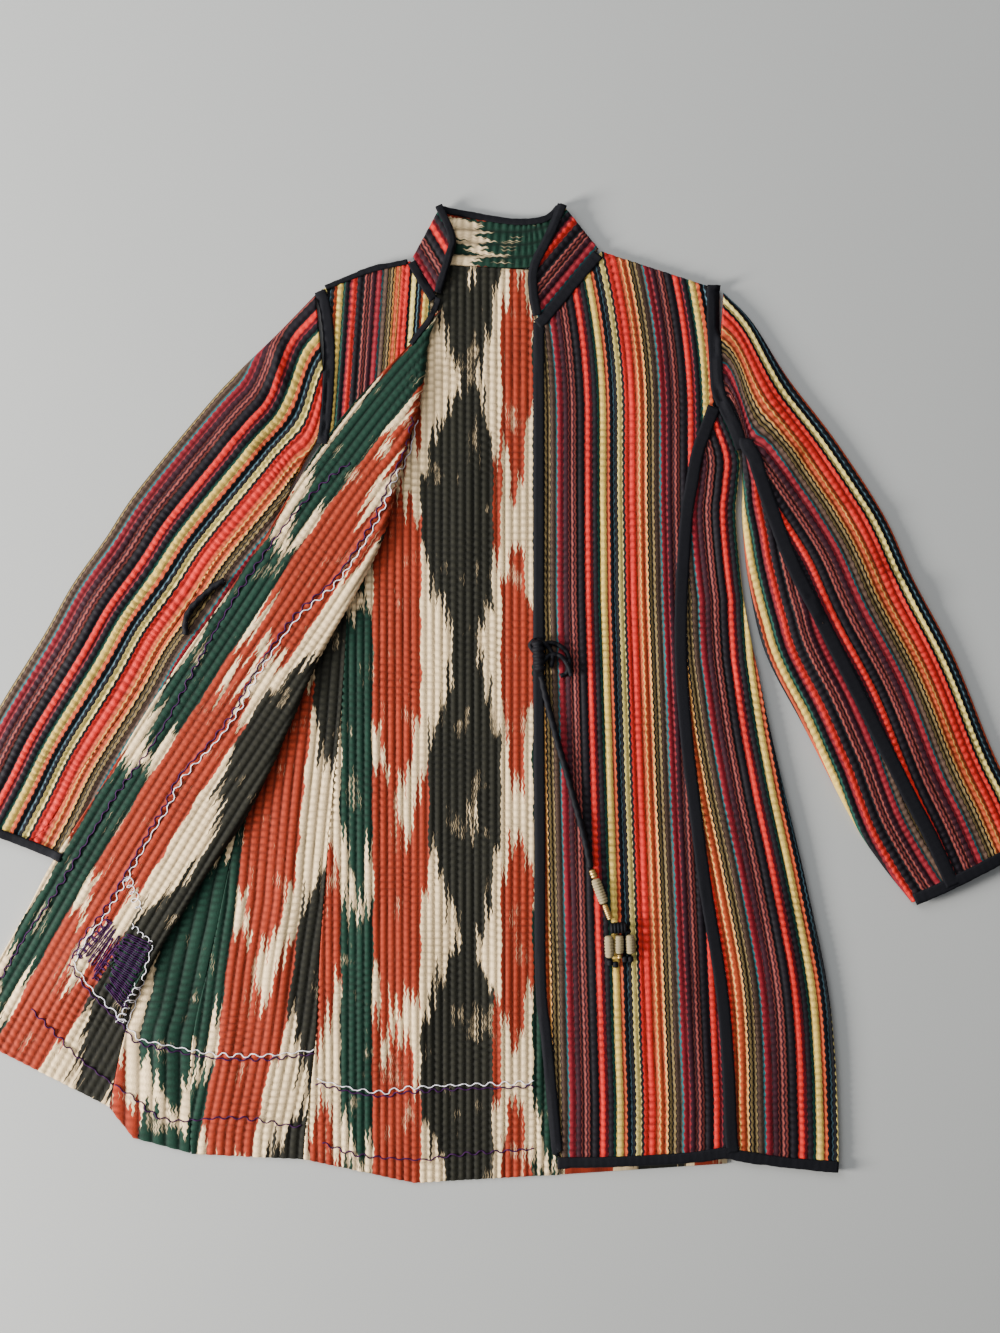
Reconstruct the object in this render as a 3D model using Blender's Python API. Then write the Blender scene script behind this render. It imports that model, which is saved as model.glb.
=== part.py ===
"""Quilted chapan robe, laid flat and open on one side, as the pieces that a maker cuts and sews.

Tables are in millimetres. A place is (across, down) on the surface the robe lies on, measured
from a datum corner; an optional third number is a height above the piece's own layer.
The object is in metres, X across, Y towards the collar, Z up, its origin under its middle.
"""
import math
from collections import namedtuple

import bmesh
import bpy
from mathutils import Vector

MM = 0.001

# Driving dimensions
DATUM_ACROSS = 490.0
DATUM_DOWN = 693.0
WALL = 1.6
RIB = 0.8
GAP = 0.3
TAPE = 0.6
LAYER_GAP = 0.6
BINDING_EDGE = 1.5
SEAM_INSET = 0.25
BINDING_WIDTH = 10.0
HEM_WIDTH = 12.0
COLLAR_BACK_WIDTH = 8.0
COLLAR_RIGHT_WIDTH = 7.0
NECK_LEFT_WIDTH = 12.0
NECK_RIGHT_WIDTH = 9.0
SHOULDER_WIDTH = 6.0
ARMHOLE_LEFT_WIDTH = 11.0
ARMHOLE_RIGHT_WIDTH = 10.0
PRINCESS_WIDTH = 13.0
SLEEVE_STRIP_WIDTH = 14.0
CURL_RADIUS = 4.5
CORD_RADIUS = 3.1
KNOT_RADIUS = 6.5
CAP_RADIUS = 3.4
BEAD_RADIUS = 5.0
TUBE_RADIUS = 2.8
TASSEL_HEAD_RADIUS = 6.0
TASSEL_BEAD_RADIUS = 4.6
BEAD_SIDES = 10

# Layers, as heights of their undersides
CLOTH = WALL + RIB
FLOOR_LAYER = 0.0
FRONT_LAYER = FLOOR_LAYER + CLOTH + LAYER_GAP
TAPE_ON_FRONT = FRONT_LAYER + CLOTH + GAP
SLEEVE_HEIGHT = FRONT_LAYER + WALL
CORD_HEIGHT = TAPE_ON_FRONT + TAPE + GAP + CORD_RADIUS

# Colours
STRIPED = (0.52, 0.10, 0.09)
STRIPED_DARK = (0.25, 0.06, 0.08)
IKAT = (0.62, 0.50, 0.34)
IKAT_GREEN = (0.05, 0.14, 0.10)
BLACK = (0.012, 0.012, 0.018)
CREAM = (0.70, 0.60, 0.42)
GOLD = (0.60, 0.42, 0.14)

# Seams shared by two pieces, from the collar to the hem
FRONT_PRINCESS = (
    (713, 412), (696.5, 454), (690.5, 487), (685.5, 520), (680.5, 600), (680.5, 667),
    (685.5, 734), (694.5, 810), (704.5, 887), (720, 983), (727, 1060), (730, 1130),
)
LEFT_SIDE_SEAM = (
    (724, 414), (738, 456), (737, 487), (735, 520), (743, 600), (756, 667),
    (770, 734), (788, 810), (806, 887), (826, 983), (834, 1060), (837, 1130),
)
BACK_PRINCESS = (
    (331, 425), (338, 460), (344, 520), (347, 610), (341, 715),
    (329, 837), (321, 944), (316, 1040), (306, 1136),
)
RIGHT_SIDE_SEAM = (
    (324, 440), (303, 480), (298, 520), (287, 610), (264, 715),
    (236, 837), (214, 944), (193, 1040), (191, 1136),
)
BACK_MIDDLE = 516.0
HIDDEN_SIDE_SEAM = (
    (708, 440), (726, 480), (731, 520), (739, 610), (760, 715),
    (788, 837), (812, 944), (828, 1040), (833, 1130), (833, 1153),
)

Fold = namedtuple("Fold", "free fold free_base fold_base sweep")


def place(across, down, height=0.0):
    """A point of the tables as a vector in millimetres in the object's frame."""
    return Vector((across - DATUM_ACROSS, DATUM_DOWN - down, height))


def mirrored(places):
    """The same places on the other side of the back's middle."""
    return [(2 * BACK_MIDDLE - across, down) for across, down in places]


def material(name, colour, roughness=0.8, metallic=0.0):
    """A plain Principled material, made once for each name."""
    found = bpy.data.materials.get(name)
    if found:
        return found
    made = bpy.data.materials.new(name)
    made.use_nodes = True
    shader = made.node_tree.nodes["Principled BSDF"]
    shader.inputs["Base Color"].default_value = (*colour, 1.0)
    shader.inputs["Roughness"].default_value = roughness
    shader.inputs["Metallic"].default_value = metallic
    made.diffuse_color = (*colour, 1.0)
    return made


def add_object(name, data, colour, kind):
    """Link a named object with its material to the robe's collection."""
    made = bpy.data.objects.new(name, data)
    bpy.data.collections["chapan_robe"].objects.link(made)
    data.materials.append(material(kind, colour))
    return made


def cap_spans(outside_count, inside_count, links):
    """Ring indices of the flat pieces of a cap, from each inside point to the next."""
    total = outside_count + inside_count
    spans = []
    for inside in range(inside_count - 1):
        over = list(range(links[inside], links[inside + 1] + 1))
        spans.append(over + [total - 2 - inside, total - 1 - inside])
    return spans


def loft(name, rings, colour, kind, spans=None):
    """One closed body through rings of as many points each, capped at both ends."""
    mesh = bmesh.new()
    loops = [[mesh.verts.new(point * MM) for point in ring] for ring in rings]
    count = len(loops[0])
    for near, far in zip(loops, loops[1:]):
        for i in range(count):
            j = (i + 1) % count
            mesh.faces.new((near[i], near[j], far[j], far[i]))
    for span in spans or [range(count)]:
        mesh.faces.new([loops[0][i] for i in reversed(span)])
        mesh.faces.new([loops[-1][i] for i in span])
    bmesh.ops.recalc_face_normals(mesh, faces=mesh.faces)
    if mesh.calc_volume(signed=True) < 0:
        bmesh.ops.reverse_faces(mesh, faces=mesh.faces)
    data = bpy.data.meshes.new(name)
    mesh.to_mesh(data)
    mesh.free()
    return add_object(name, data, colour, kind)


def ribbed_line(columns, channels):
    """Top points through the columns: a crest in the middle of each channel, none where it is 0."""
    points = []
    last = len(columns) - 2
    for index, (start, end) in enumerate(zip(columns, columns[1:])):
        steps = max(2 * channels[index], 1)
        stop = steps + 1 if index == last else steps
        for step in range(stop):
            point = start.lerp(end, step / steps)
            point.z += WALL
            if channels[index] and step % 2:
                point.z += RIB
            points.append(point)
    return points


def column_links(channels):
    """Where each column falls among the points of a ribbed line."""
    links = [0]
    for count in channels:
        links.append(links[-1] + max(2 * count, 1))
    return links


def panel(name, rows, channels, base, colour, kind):
    """A cloth wall through rows of places, quilted above and plain below."""
    rings = []
    links = column_links(channels)
    for row in rows:
        columns = [place(*spot) for spot in row]
        for column in columns:
            column.z += base
        run = (columns[-1] - columns[0]).normalized() * SEAM_INSET
        columns[0] = columns[0] + run
        columns[-1] = columns[-1] - run
        top = ribbed_line(columns, channels)
        rings.append(top + [column.copy() for column in reversed(columns)])
    return loft(name, rings, colour, kind, cap_spans(links[-1] + 1, len(links), links))


def side_normals(route):
    """Mitred unit offsets to the right of a route's run, in plan."""
    offsets = []
    for i, here in enumerate(route):
        before = (here - route[max(i - 1, 0)]).to_2d()
        after = (route[min(i + 1, len(route) - 1)] - here).to_2d()
        before = before.normalized() if before.length else after.normalized()
        after = after.normalized() if after.length else before
        bisector = (before + after).normalized()
        stretch = 1.0 / max(bisector.dot(before), 0.5)
        offsets.append(Vector((bisector.y, -bisector.x, 0.0)) * stretch)
    return offsets


def tape(name, spots, width, base):
    """A flat tape laid along its middle line."""
    route = [place(*spot) for spot in spots]
    rings = []
    for middle, offset in zip(route, side_normals(route)):
        under = Vector((0, 0, base))
        left = middle - offset * (width / 2) + under
        right = middle + offset * (width / 2) + under
        up = Vector((0, 0, TAPE))
        rings.append([left, left + up, right + up, right])
    return loft(name, rings, BLACK, "tape")


def binding(name, spots, width, base, side):
    """A binding round an edge: its edge stands by the wall, its leg laps over the cloth.

    The spots are its outer edge; side is 1 where the cloth is right of the run, else -1.
    """
    route = [place(*spot) for spot in spots]
    rings = []
    for outer, offset in zip(route, side_normals(route)):
        inward = offset * side
        low = Vector((0, 0, base + GAP))
        lap = Vector((0, 0, base + CLOTH + GAP))
        top = lap + Vector((0, 0, TAPE))
        rings.append([
            outer + low, outer + top, outer + inward * width + top, outer + inward * width + lap,
            outer + inward * BINDING_EDGE + lap, outer + inward * BINDING_EDGE + low,
        ])
    return loft(name, rings, BLACK, "tape")


def build_back():
    """The back in three: a middle piece and a side piece beyond each princess seam."""
    neck = ((322, 292), (414, 264), (529, 271), (598, 255), (711, 289))
    upper = ((328, 340), (414, 330), (532, 330), (600, 335), (712, 340))
    armhole = ((331, 390), (414, 390), (536, 390), (605, 390), (712, 390))
    rows = [neck, upper, armhole]
    for (left, down), (right, _) in zip(BACK_PRINCESS, mirrored(BACK_PRINCESS)):
        hidden = (536 + right) / 2
        rows.append(((left, down), (414, down), (536, down), (hidden, down), (right, down)))
    rows[-1] = ((306, 1130), (414, 1148), (536, 1145), (630, 1140), (726, 1130))
    rows.append(((304, 1158), (414, 1182), (536, 1175), (630, 1170), (727, 1163)))
    panel("back_center", rows, (9, 14, 0, 0), FLOOR_LAYER, IKAT, "lining")
    inner = list(BACK_PRINCESS[:-1]) + [(306, 1130), (304, 1158)]
    outer = list(RIGHT_SIDE_SEAM[:-1]) + [(191, 1130), (192, 1153)]
    panel("back_side_right", list(zip(outer, inner)), (12,), FLOOR_LAYER, IKAT_GREEN, "lining green")
    hidden_rows = list(zip(mirrored(inner), HIDDEN_SIDE_SEAM))
    panel("back_side_left", hidden_rows, (0,), FLOOR_LAYER, IKAT, "lining")


def build_left_front():
    """The closed front on the wearer's left, outer side up, in two pieces."""
    neck_to_chest = [
        ((601, 253), (712, 289)), ((585, 272), (712, 301)), ((567, 294), (712, 317)),
        ((549, 316), (713, 337)), ((538, 331), (714, 361)), ((538, 372), (715, 392)),
    ]
    front_edge = [538, 538, 538, 538, 538, 538, 538, 538, 539, 541, 548, 556]
    centre = neck_to_chest + [
        ((across, down), (seam, down)) for across, (seam, down) in zip(front_edge, FRONT_PRINCESS)
    ]
    centre.append(((560, 1163), (732, 1155)))
    panel("front_left_center", centre, (20,), FRONT_LAYER, STRIPED, "stripes")
    sides = [(left, right) for left, right in zip(FRONT_PRINCESS, LEFT_SIDE_SEAM)]
    sides[0] = ((715, 409), (722, 414))
    sides.append(((732.5, 1156), (837, 1168)))
    panel("front_left_side", sides, (10,), FRONT_LAYER, STRIPED_DARK, "stripes dark")


def build_right_shoulder():
    """The layer of the right front that lies outer side up, from the shoulder to under the fold."""
    rows = (
        ((322, 291), (372, 269), (411, 263)), ((325, 306), (374, 291), (421, 282)),
        ((328, 330), (380, 316), (430, 304)), ((331, 355), (379, 350), (424, 346)),
        ((331, 385), (376, 385), (421, 385)), ((330, 420), (370, 420), (413.5, 420)),
        ((325, 447), (363, 449), (405, 450)), ((304, 478), (348, 479), (397.5, 480)),
        ((299, 520), (342, 520), (386, 520)), ((291, 600), (317, 600), (350, 600)),
        ((276, 665), (293, 665), (315, 665)), ((262, 720), (274, 720), (291.5, 720)),
        ((250, 775), (255, 775), (266.5, 775)),
    )
    panel("front_right_shoulder", rows, (6, 6), FRONT_LAYER, STRIPED, "stripes")


FLAP_ROWS = (
    Fold((434, 318), (441, 312), 7.2, 8.0, 30), Fold((420, 334), (432, 331), 7.2, 8.2, 45),
    Fold((406, 351), (427, 351), 7.2, 9.0, 80), Fold((376, 381), (424, 381), 7.2, 11.6, 125),
    Fold((344, 417), (416, 417), 7.2, 12.4, 135), Fold((313, 460), (403, 460), 7.2, 12.4, 135),
    Fold((283, 510), (391, 510), 7.2, 12.4, 135), Fold((260, 547), (380, 547), 7.2, 12.4, 135),
    Fold((220, 607), (348, 607), 7.2, 12.4, 135), Fold((177, 668), (315, 668), 7.2, 12.4, 135),
    Fold((143, 720), (293, 720), 7.2, 12.4, 135), Fold((110, 776), (268, 776), 7.2, 12.2, 135),
    Fold((80, 822), (243, 822), 7.2, 10.8, 135), Fold((53, 864), (214, 864), 7.2, 9.6, 135),
    Fold((31, 905), (188, 905), 3.4, 9.0, 135), Fold((8, 945), (163, 945), 0.0, 8.8, 135),
    Fold((-14, 984), (143, 984), 0.0, 7.4, 110), Fold((-29, 1010), (130, 1010), 0.0, 4.6, 60),
    Fold((-33, 1017), (125.3, 1030), 0.0, 0.0, 8), Fold((-37, 1023), (118.5, 1060), 0.0, 0.0, 8),
    Fold((-40, 1030), (109.5, 1106), 0.0, 0.0, 8),
)
FLAP_CHANNELS = 16
CURL_STEPS = 5
UNDER_SPANS = 4


def flap_height(row, share):
    """Underside of the turned-back front: it lies on the sleeve and swells up to the fold."""
    swell = share * share * (3 - 2 * share)
    return row.free_base + (row.fold_base - row.free_base) * swell


def build_flap():
    """The right front turned back with its lining up, rolled over at the fold."""
    rings = []
    for row in FLAP_ROWS:
        free = place(*row.free)
        fold = place(*row.fold)
        run = (fold - free).normalized()
        sweep = math.radians(row.sweep)
        reach = CURL_RADIUS * math.sin(min(sweep, math.pi / 2))
        start = fold - run * (reach + SEAM_INSET)
        top = []
        for step in range(2 * FLAP_CHANNELS + 1):
            share = step / (2 * FLAP_CHANNELS)
            point = free.lerp(start, share)
            point.z = flap_height(row, share) + WALL + (RIB if step % 2 else 0.0)
            top.append(point)
        centre = start + Vector((0, 0, row.fold_base + WALL - CURL_RADIUS))
        outer = []
        inner = []
        for step in range(1, CURL_STEPS + 1):
            angle = sweep * step / CURL_STEPS
            ray = run * math.sin(angle) + Vector((0, 0, math.cos(angle)))
            outer.append(centre + ray * CURL_RADIUS)
            inner.append(centre + ray * (CURL_RADIUS - WALL))
            inner[-1].z = max(inner[-1].z, 0.0)
        under = []
        for step in range(UNDER_SPANS + 1):
            share = step / UNDER_SPANS
            point = free.lerp(start, share)
            point.z = flap_height(row, share)
            under.append(point)
        rings.append(top + outer + list(reversed(under + inner)))
    across = 2 * FLAP_CHANNELS
    links = [across * step // UNDER_SPANS for step in range(UNDER_SPANS + 1)]
    links += [across + step for step in range(1, CURL_STEPS + 1)]
    spans = cap_spans(across + 1 + CURL_STEPS, len(links), links)
    loft("front_right_center", rings, IKAT, "lining", spans)


def build_right_side():
    """The side piece of the right front, opened flat beside the back, lining up."""
    rows = (
        ((212, 826), (225, 826), (237.8, 826)), ((200, 852), (216, 852), (232.2, 852)),
        ((186, 885), (206, 885), (225.5, 885)), ((168, 920), (193, 922), (218.3, 924)),
        ((150, 944), (182, 944), (213.5, 944)), ((134, 983), (170, 983), (205.5, 981)),
        ((131.5, 1010), (165, 1010), (199.5, 1010)), ((126.5, 1030), (159, 1034), (192.5, 1040)),
        ((119.5, 1060), (155, 1068), (191.7, 1078)), ((110.3, 1107), (134, 1137), (190.7, 1152)),
    )
    panel("front_right_side", rows, (4, 4), FLOOR_LAYER, IKAT_GREEN, "lining green")


Sleeve = namedtuple("Sleeve", "outer crown seam inner")

LEFT_SLEEVE = (
    Sleeve((723, 293), (717.5, 378), (736, 434), (741, 452)),
    Sleeve((752, 323), (738, 393), (745, 446), (741.5, 470)),
    Sleeve((787, 378), (769, 420), (753, 460), (742, 490)),
    Sleeve((835, 441), (799, 466), (763, 491), (742, 522)),
    Sleeve((883, 515), (836, 539), (790, 563), (748, 581)),
    Sleeve((913, 580), (868, 603), (822, 626), (765, 653)),
    Sleeve((953, 656), (906, 679), (860, 702), (804, 728)),
    Sleeve((990, 747), (948, 770), (905, 792), (851, 819)),
    Sleeve((1013, 795), (970, 815), (928, 836), (880, 863)),
    Sleeve((1034, 843), (992, 864), (950, 884), (911, 902)),
)
RIGHT_SLEEVE = (
    Sleeve((316, 295), (324, 375), (320, 437), (301, 470)),
    Sleeve((277, 335), (293, 400), (305, 460), (292, 486)),
    Sleeve((236, 375), (266, 425), (293, 480), (284, 504)),
    Sleeve((204, 410), (240, 455), (283, 502), (276, 526)),
    Sleeve((137, 492), (180, 523), (222, 553), (259, 579)),
    Sleeve((105, 540), (148, 571), (192, 602), (235, 633)),
    Sleeve((73, 585), (118, 617), (162, 648), (207, 680)),
    Sleeve((44, 636), (89, 668), (133, 699), (178, 731)),
    Sleeve((0, 707), (42, 737), (85, 767), (127, 797)),
    Sleeve((-28, 762), (12, 791), (53, 820), (93, 848)),
    Sleeve((-54, 812), (-13, 828), (28, 845), (68, 860)),
)


EDGE_TURNS = (30, 60, 90, 120, 150)
UPPER_CHANNELS = (6, 5)
LOWER_CHANNELS = (2, 2)


def sleeve_spans(channels):
    """The cap pieces of a sleeve's ring, from its seam over the edge to its under seam."""
    steps = column_links(channels)
    links = [steps[-1] - step for step in reversed(steps)]
    for _ in range(len(EDGE_TURNS) + 2):
        links.append(links[-1] + 1)
    return cap_spans(links[-1] + 1, len(links), links)


def sleeve_ring(edge, top_columns, under_end, channels):
    """A wall folded round a sleeve's edge: ribbed above, plain below and inside."""
    radius = SLEEVE_HEIGHT / 2
    inner_radius = radius - WALL
    run = (top_columns[0] - edge).normalized()
    centre = edge + run * radius
    centre.z = radius
    lifted = [column + Vector((0, 0, SLEEVE_HEIGHT - WALL)) for column in top_columns]
    lifted[-1] = lifted[-1] - run * SEAM_INSET
    start = centre + Vector((0, 0, radius - WALL))
    top = ribbed_line([start] + lifted, channels)
    outer = []
    inner = []
    for angle in EDGE_TURNS:
        turn = math.radians(angle)
        ray = Vector((0, 0, math.cos(turn))) - run * math.sin(turn)
        outer.append(centre + ray * radius)
        inner.append(centre + ray * inner_radius)
    foot = centre.copy()
    foot.z = 0.0
    end = under_end - run * SEAM_INSET
    raised = Vector((0, 0, WALL))
    outside = list(reversed(top)) + outer + [foot, end]
    inside = list(reversed(lifted)) + [start] + inner + [foot + raised, end + raised]
    return outside + [point.copy() for point in reversed(inside)]


def build_sleeve(side, table, strip_width):
    """One sleeve as a flattened tube of two pieces that meet at a taped seam."""
    upper = []
    lower = []
    for row in table:
        outer, crown, seam, inner = (place(*spot) for spot in row)
        middle = outer.lerp(inner, 0.5)
        upper.append(sleeve_ring(outer, [crown, seam], middle, UPPER_CHANNELS))
        lower.append(sleeve_ring(inner, [seam.lerp(inner, 0.5), seam], middle, LOWER_CHANNELS))
    loft(f"sleeve_{side}_upper", upper, STRIPED, "stripes", sleeve_spans(UPPER_CHANNELS))
    loft(f"sleeve_{side}_lower", lower, STRIPED_DARK, "stripes dark", sleeve_spans(LOWER_CHANNELS))
    if strip_width:
        spots = [row.seam for row in table[1:-1]]
        tape(f"tape_sleeve_{side}", spots, strip_width, TAPE_ON_FRONT)


def build_collar():
    """A stand collar: its back lies lining up, its two ends fold forward outer side up."""
    back = (
        ((415, 261), (443, 209)), ((434, 265), (457, 212)), ((455, 266), (472, 215)),
        ((492, 268), (500, 219)), ((528, 268), (530, 221)), ((565, 260), (546, 218)),
        ((597, 252), (558, 208)),
    )
    panel("collar_back", back, (6,), FLOOR_LAYER, IKAT_GREEN, "lining green")
    right = (
        ((413, 259), (441, 208, 3)), ((419, 269), (453, 239, 5)),
        ((427, 281), (448, 262, 4)), ((434, 294), (440, 288, 1)),
    )
    panel("collar_right", right, (6,), FRONT_LAYER, STRIPED_DARK, "stripes dark")
    left = (
        ((598, 250), (563, 208, 3)), ((585, 266), (556, 224, 5)), ((570, 284), (545, 246, 6)),
        ((556, 301), (533, 269, 5)), ((546, 312), (532, 294, 3)), ((540, 321), (536, 315, 1)),
    )
    panel("collar_left", left, (6,), FRONT_LAYER, STRIPED_DARK, "stripes dark")


def build_collar_bindings():
    """Black bindings on the collar's top edges."""
    back_edge = ((443, 207), (471, 212), (500, 217), (521, 219), (545, 216), (558, 205))
    binding("binding_collar_back", back_edge, COLLAR_BACK_WIDTH, FLOOR_LAYER, 1)
    right_edge = ((442, 205, 3), (456, 241, 5), (451, 263, 4), (442, 290, 1))
    binding("binding_collar_right", right_edge, COLLAR_RIGHT_WIDTH, FRONT_LAYER, 1)
    left_edge = ((560, 206, 3), (543, 240, 6), (529, 268, 5), (528, 290, 3), (529, 303, 2))
    binding("binding_collar_left", left_edge, BINDING_WIDTH, FRONT_LAYER, -1)


def build_front_binding():
    """The binding down the closed front's edge and on round its hem."""
    left = (
        (534, 333), (534, 440), (534, 560), (534.5, 700), (535, 840), (536, 980),
        (542, 1040), (552, 1150), (557, 1166), (622, 1165), (683, 1162), (724, 1157),
        (737, 1160), (785, 1167), (838, 1171),
    )
    binding("binding_left", left, BINDING_WIDTH, FRONT_LAYER, -1)


def build_seam_tapes():
    """Tapes over the neck, shoulder, armhole and princess seams, and round the cuffs."""
    neck_left = ((597, 258, 0.5), (583, 273, 0.5), (568, 291, 0.8), (553, 309, 0.8), (548, 315, 0.8))
    tape("tape_neck_left", neck_left, NECK_LEFT_WIDTH, TAPE_ON_FRONT)
    neck_right = ((413, 268), (419, 277), (425, 287), (431, 297))
    tape("tape_neck_right", neck_right, NECK_RIGHT_WIDTH, TAPE_ON_FRONT)
    shoulder_right = ((405, 266), (376, 272), (350, 281), (334, 288))
    tape("tape_shoulder_right", shoulder_right, SHOULDER_WIDTH, TAPE_ON_FRONT)
    armhole_left = ((715, 291), (713.5, 314), (714.5, 354), (717, 390), (724, 411), (733, 430), (740, 447))
    tape("tape_armhole_left", armhole_left, ARMHOLE_LEFT_WIDTH, TAPE_ON_FRONT)
    armhole_right = ((323, 299), (328, 326), (330, 357), (329, 385), (325, 415), (320, 440))
    tape("tape_armhole_right", armhole_right, ARMHOLE_RIGHT_WIDTH, TAPE_ON_FRONT)
    princess = [(705, 428)] + list(FRONT_PRINCESS[1:]) + [(731.5, 1142)]
    tape("tape_princess_left", princess, PRINCESS_WIDTH, TAPE_ON_FRONT)
    cuff_base = SLEEVE_HEIGHT - WALL
    left_cuff = ((912, 905, 0), (951, 888, 0), (992, 868, 0), (1036, 847, 0))
    binding("binding_cuff_left", left_cuff, HEM_WIDTH, cuff_base, -1)
    right_cuff = ((-56, 815, 0), (-13, 832, 0), (28, 848, 0), (45, 854, 0))
    binding("binding_cuff_right", right_cuff, BINDING_WIDTH, cuff_base, -1)


TIE_ROUTE = (
    (541, 676), (545, 695), (552, 722), (558, 745), (565, 768), (571, 790), (578, 815),
    (585, 842), (590, 866),
)
LOOP_ROUTE = (
    (226, 581), (220, 584), (213, 589), (205, 596), (198, 603), (192, 610), (188.5, 617),
    (187, 624), (187.5, 631), (187, 635),
)
CORD_STATIONS = 20


def smooth_route(places, count):
    """Points of a smooth curve through a route's own points."""
    points = [places[0]] + list(places) + [places[-1]]
    spans = len(places) - 1
    route = []
    for step in range(count + 1):
        position = min(step * spans / count, spans - 1e-6)
        index = int(position)
        t = position - index
        a, b, c, d = points[index:index + 4]
        route.append(0.5 * (
            2 * b + (c - a) * t + (2 * a - 5 * b + 4 * c - d) * t * t
            + (3 * b - a - 3 * c + d) * t * t * t
        ))
    return route


def cord(name, spots, height):
    """A free cord as a closed tube along its route."""
    places = [place(across, down, height) for across, down in spots]
    curve = bpy.data.curves.new(name, "CURVE")
    curve.dimensions = "3D"
    curve.bevel_depth = CORD_RADIUS * MM
    curve.bevel_resolution = 2
    curve.use_fill_caps = True
    route = smooth_route(places, CORD_STATIONS)
    spline = curve.splines.new("POLY")
    spline.points.add(len(route) - 1)
    for point, spot in zip(spline.points, route):
        point.co = (*(spot * MM), 1.0)
    return add_object(name, curve, BLACK, "cord")


def bead(name, start, end, radius, height, colour, kind):
    """A turned bead on the tie, with round shoulders, between two places."""
    head = place(*start, height)
    foot = place(*end, height)
    axis = foot - head
    run = axis.normalized()
    across = Vector((run.y, -run.x, 0.0))
    up = Vector((0, 0, 1))
    profile = ((0.0, 0.55), (0.12, 0.9), (0.3, 1.0), (0.5, 0.9), (0.7, 1.0), (0.88, 0.9), (1.0, 0.55))
    rings = []
    for share, swell in profile:
        ring = []
        for side in range(BEAD_SIDES):
            angle = math.tau * side / BEAD_SIDES
            ray = across * math.cos(angle) + up * math.sin(angle)
            ring.append(head + axis * share + ray * radius * swell)
        rings.append(ring)
    return loft(name, rings, colour, kind)


def build_ties():
    """The left front's tie with its beads, and the right front's loop under the flap's edge."""
    cord("tie_left", TIE_ROUTE, CORD_HEIGHT)
    cord("tie_right", LOOP_ROUTE, CORD_HEIGHT - TAPE)
    resting = TAPE_ON_FRONT + BEAD_RADIUS
    on_tape = TAPE_ON_FRONT + TAPE + GAP + KNOT_RADIUS
    bead("tie_knot", (537, 640), (539.5, 672), KNOT_RADIUS, on_tape, BLACK, "cord")
    bead("tie_cap", (591, 868), (594.2, 876.7), CAP_RADIUS, resting, GOLD, "gold")
    bead("tie_bead", (594.5, 877.5), (603.5, 902), BEAD_RADIUS, resting, CREAM, "wrapped bead")
    bead("tie_tube", (603.7, 902.5), (609.5, 918), TUBE_RADIUS, resting, GOLD, "gold")
    head_height = TAPE_ON_FRONT + TASSEL_HEAD_RADIUS
    bead("tassel_head", (609, 926.5), (626, 925.5), TASSEL_HEAD_RADIUS, head_height, BLACK, "cord")
    end_height = TAPE_ON_FRONT + TASSEL_BEAD_RADIUS
    ends = (((608, 934), (609, 956)), ((618.5, 933.5), (618.5, 952)), ((629, 933), (630, 952)))
    for index, (top, bottom) in enumerate(ends, 1):
        name = f"tassel_bead_{index}"
        bead(name, top, bottom, TASSEL_BEAD_RADIUS, end_height, CREAM, "wrapped bead")


def main():
    for old in list(bpy.data.objects):
        bpy.data.objects.remove(old, do_unlink=True)
    robe = bpy.data.collections.new("chapan_robe")
    bpy.context.scene.collection.children.link(robe)
    build_back()
    build_left_front()
    build_right_shoulder()
    build_flap()
    build_right_side()
    build_sleeve("left", LEFT_SLEEVE, SLEEVE_STRIP_WIDTH)
    build_sleeve("right", RIGHT_SLEEVE, 0)
    build_collar()
    build_collar_bindings()
    build_front_binding()
    build_seam_tapes()
    build_ties()


main()
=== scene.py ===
"""A quilted chapan robe laid flat: its cloth, tapes, ties and stitching, on a pale floor.

Tables are in millimetres. A place is (across, down) on the floor from a datum corner, with an
optional height; everything that Blender gets is in metres, in the robe's own frame.
"""
import math
from collections import namedtuple

import bpy
import numpy as np
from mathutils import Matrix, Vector
from mathutils.bvhtree import BVHTree


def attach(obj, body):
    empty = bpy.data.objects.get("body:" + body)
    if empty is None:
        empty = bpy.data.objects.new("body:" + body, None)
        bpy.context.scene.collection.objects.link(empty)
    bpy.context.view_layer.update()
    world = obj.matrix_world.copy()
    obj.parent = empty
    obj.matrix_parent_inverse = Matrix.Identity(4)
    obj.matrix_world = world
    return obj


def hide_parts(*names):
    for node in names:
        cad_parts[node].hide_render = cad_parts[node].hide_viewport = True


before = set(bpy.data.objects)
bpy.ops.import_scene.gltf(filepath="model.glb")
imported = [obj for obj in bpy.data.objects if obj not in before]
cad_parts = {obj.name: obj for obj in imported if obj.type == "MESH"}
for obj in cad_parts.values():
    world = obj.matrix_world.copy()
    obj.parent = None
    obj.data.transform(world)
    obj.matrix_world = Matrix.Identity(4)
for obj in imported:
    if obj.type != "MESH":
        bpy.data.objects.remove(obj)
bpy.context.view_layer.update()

bl_info = {
    "name": "Chapan robe",
    "version": (1, 0, 0),
    "blender": (4, 5, 0),
    "location": "3D View > Sidebar > Robe",
    "description": "Builds a quilted chapan robe laid flat, with its stripes, ikat lining and ties",
    "category": "Add Mesh",
}

MM = 0.001
DATUM_ACROSS = 490.0
DATUM_DOWN = 693.0

# The cloth's build, as in the solids
WALL = 1.6
FRONT_LAYER = 3.0
SLEEVE_HEIGHT = FRONT_LAYER + WALL
CURL_RADIUS = 4.5
TAPE_RISE = 0.2
TIE_REST = FRONT_LAYER + 2.7

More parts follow.
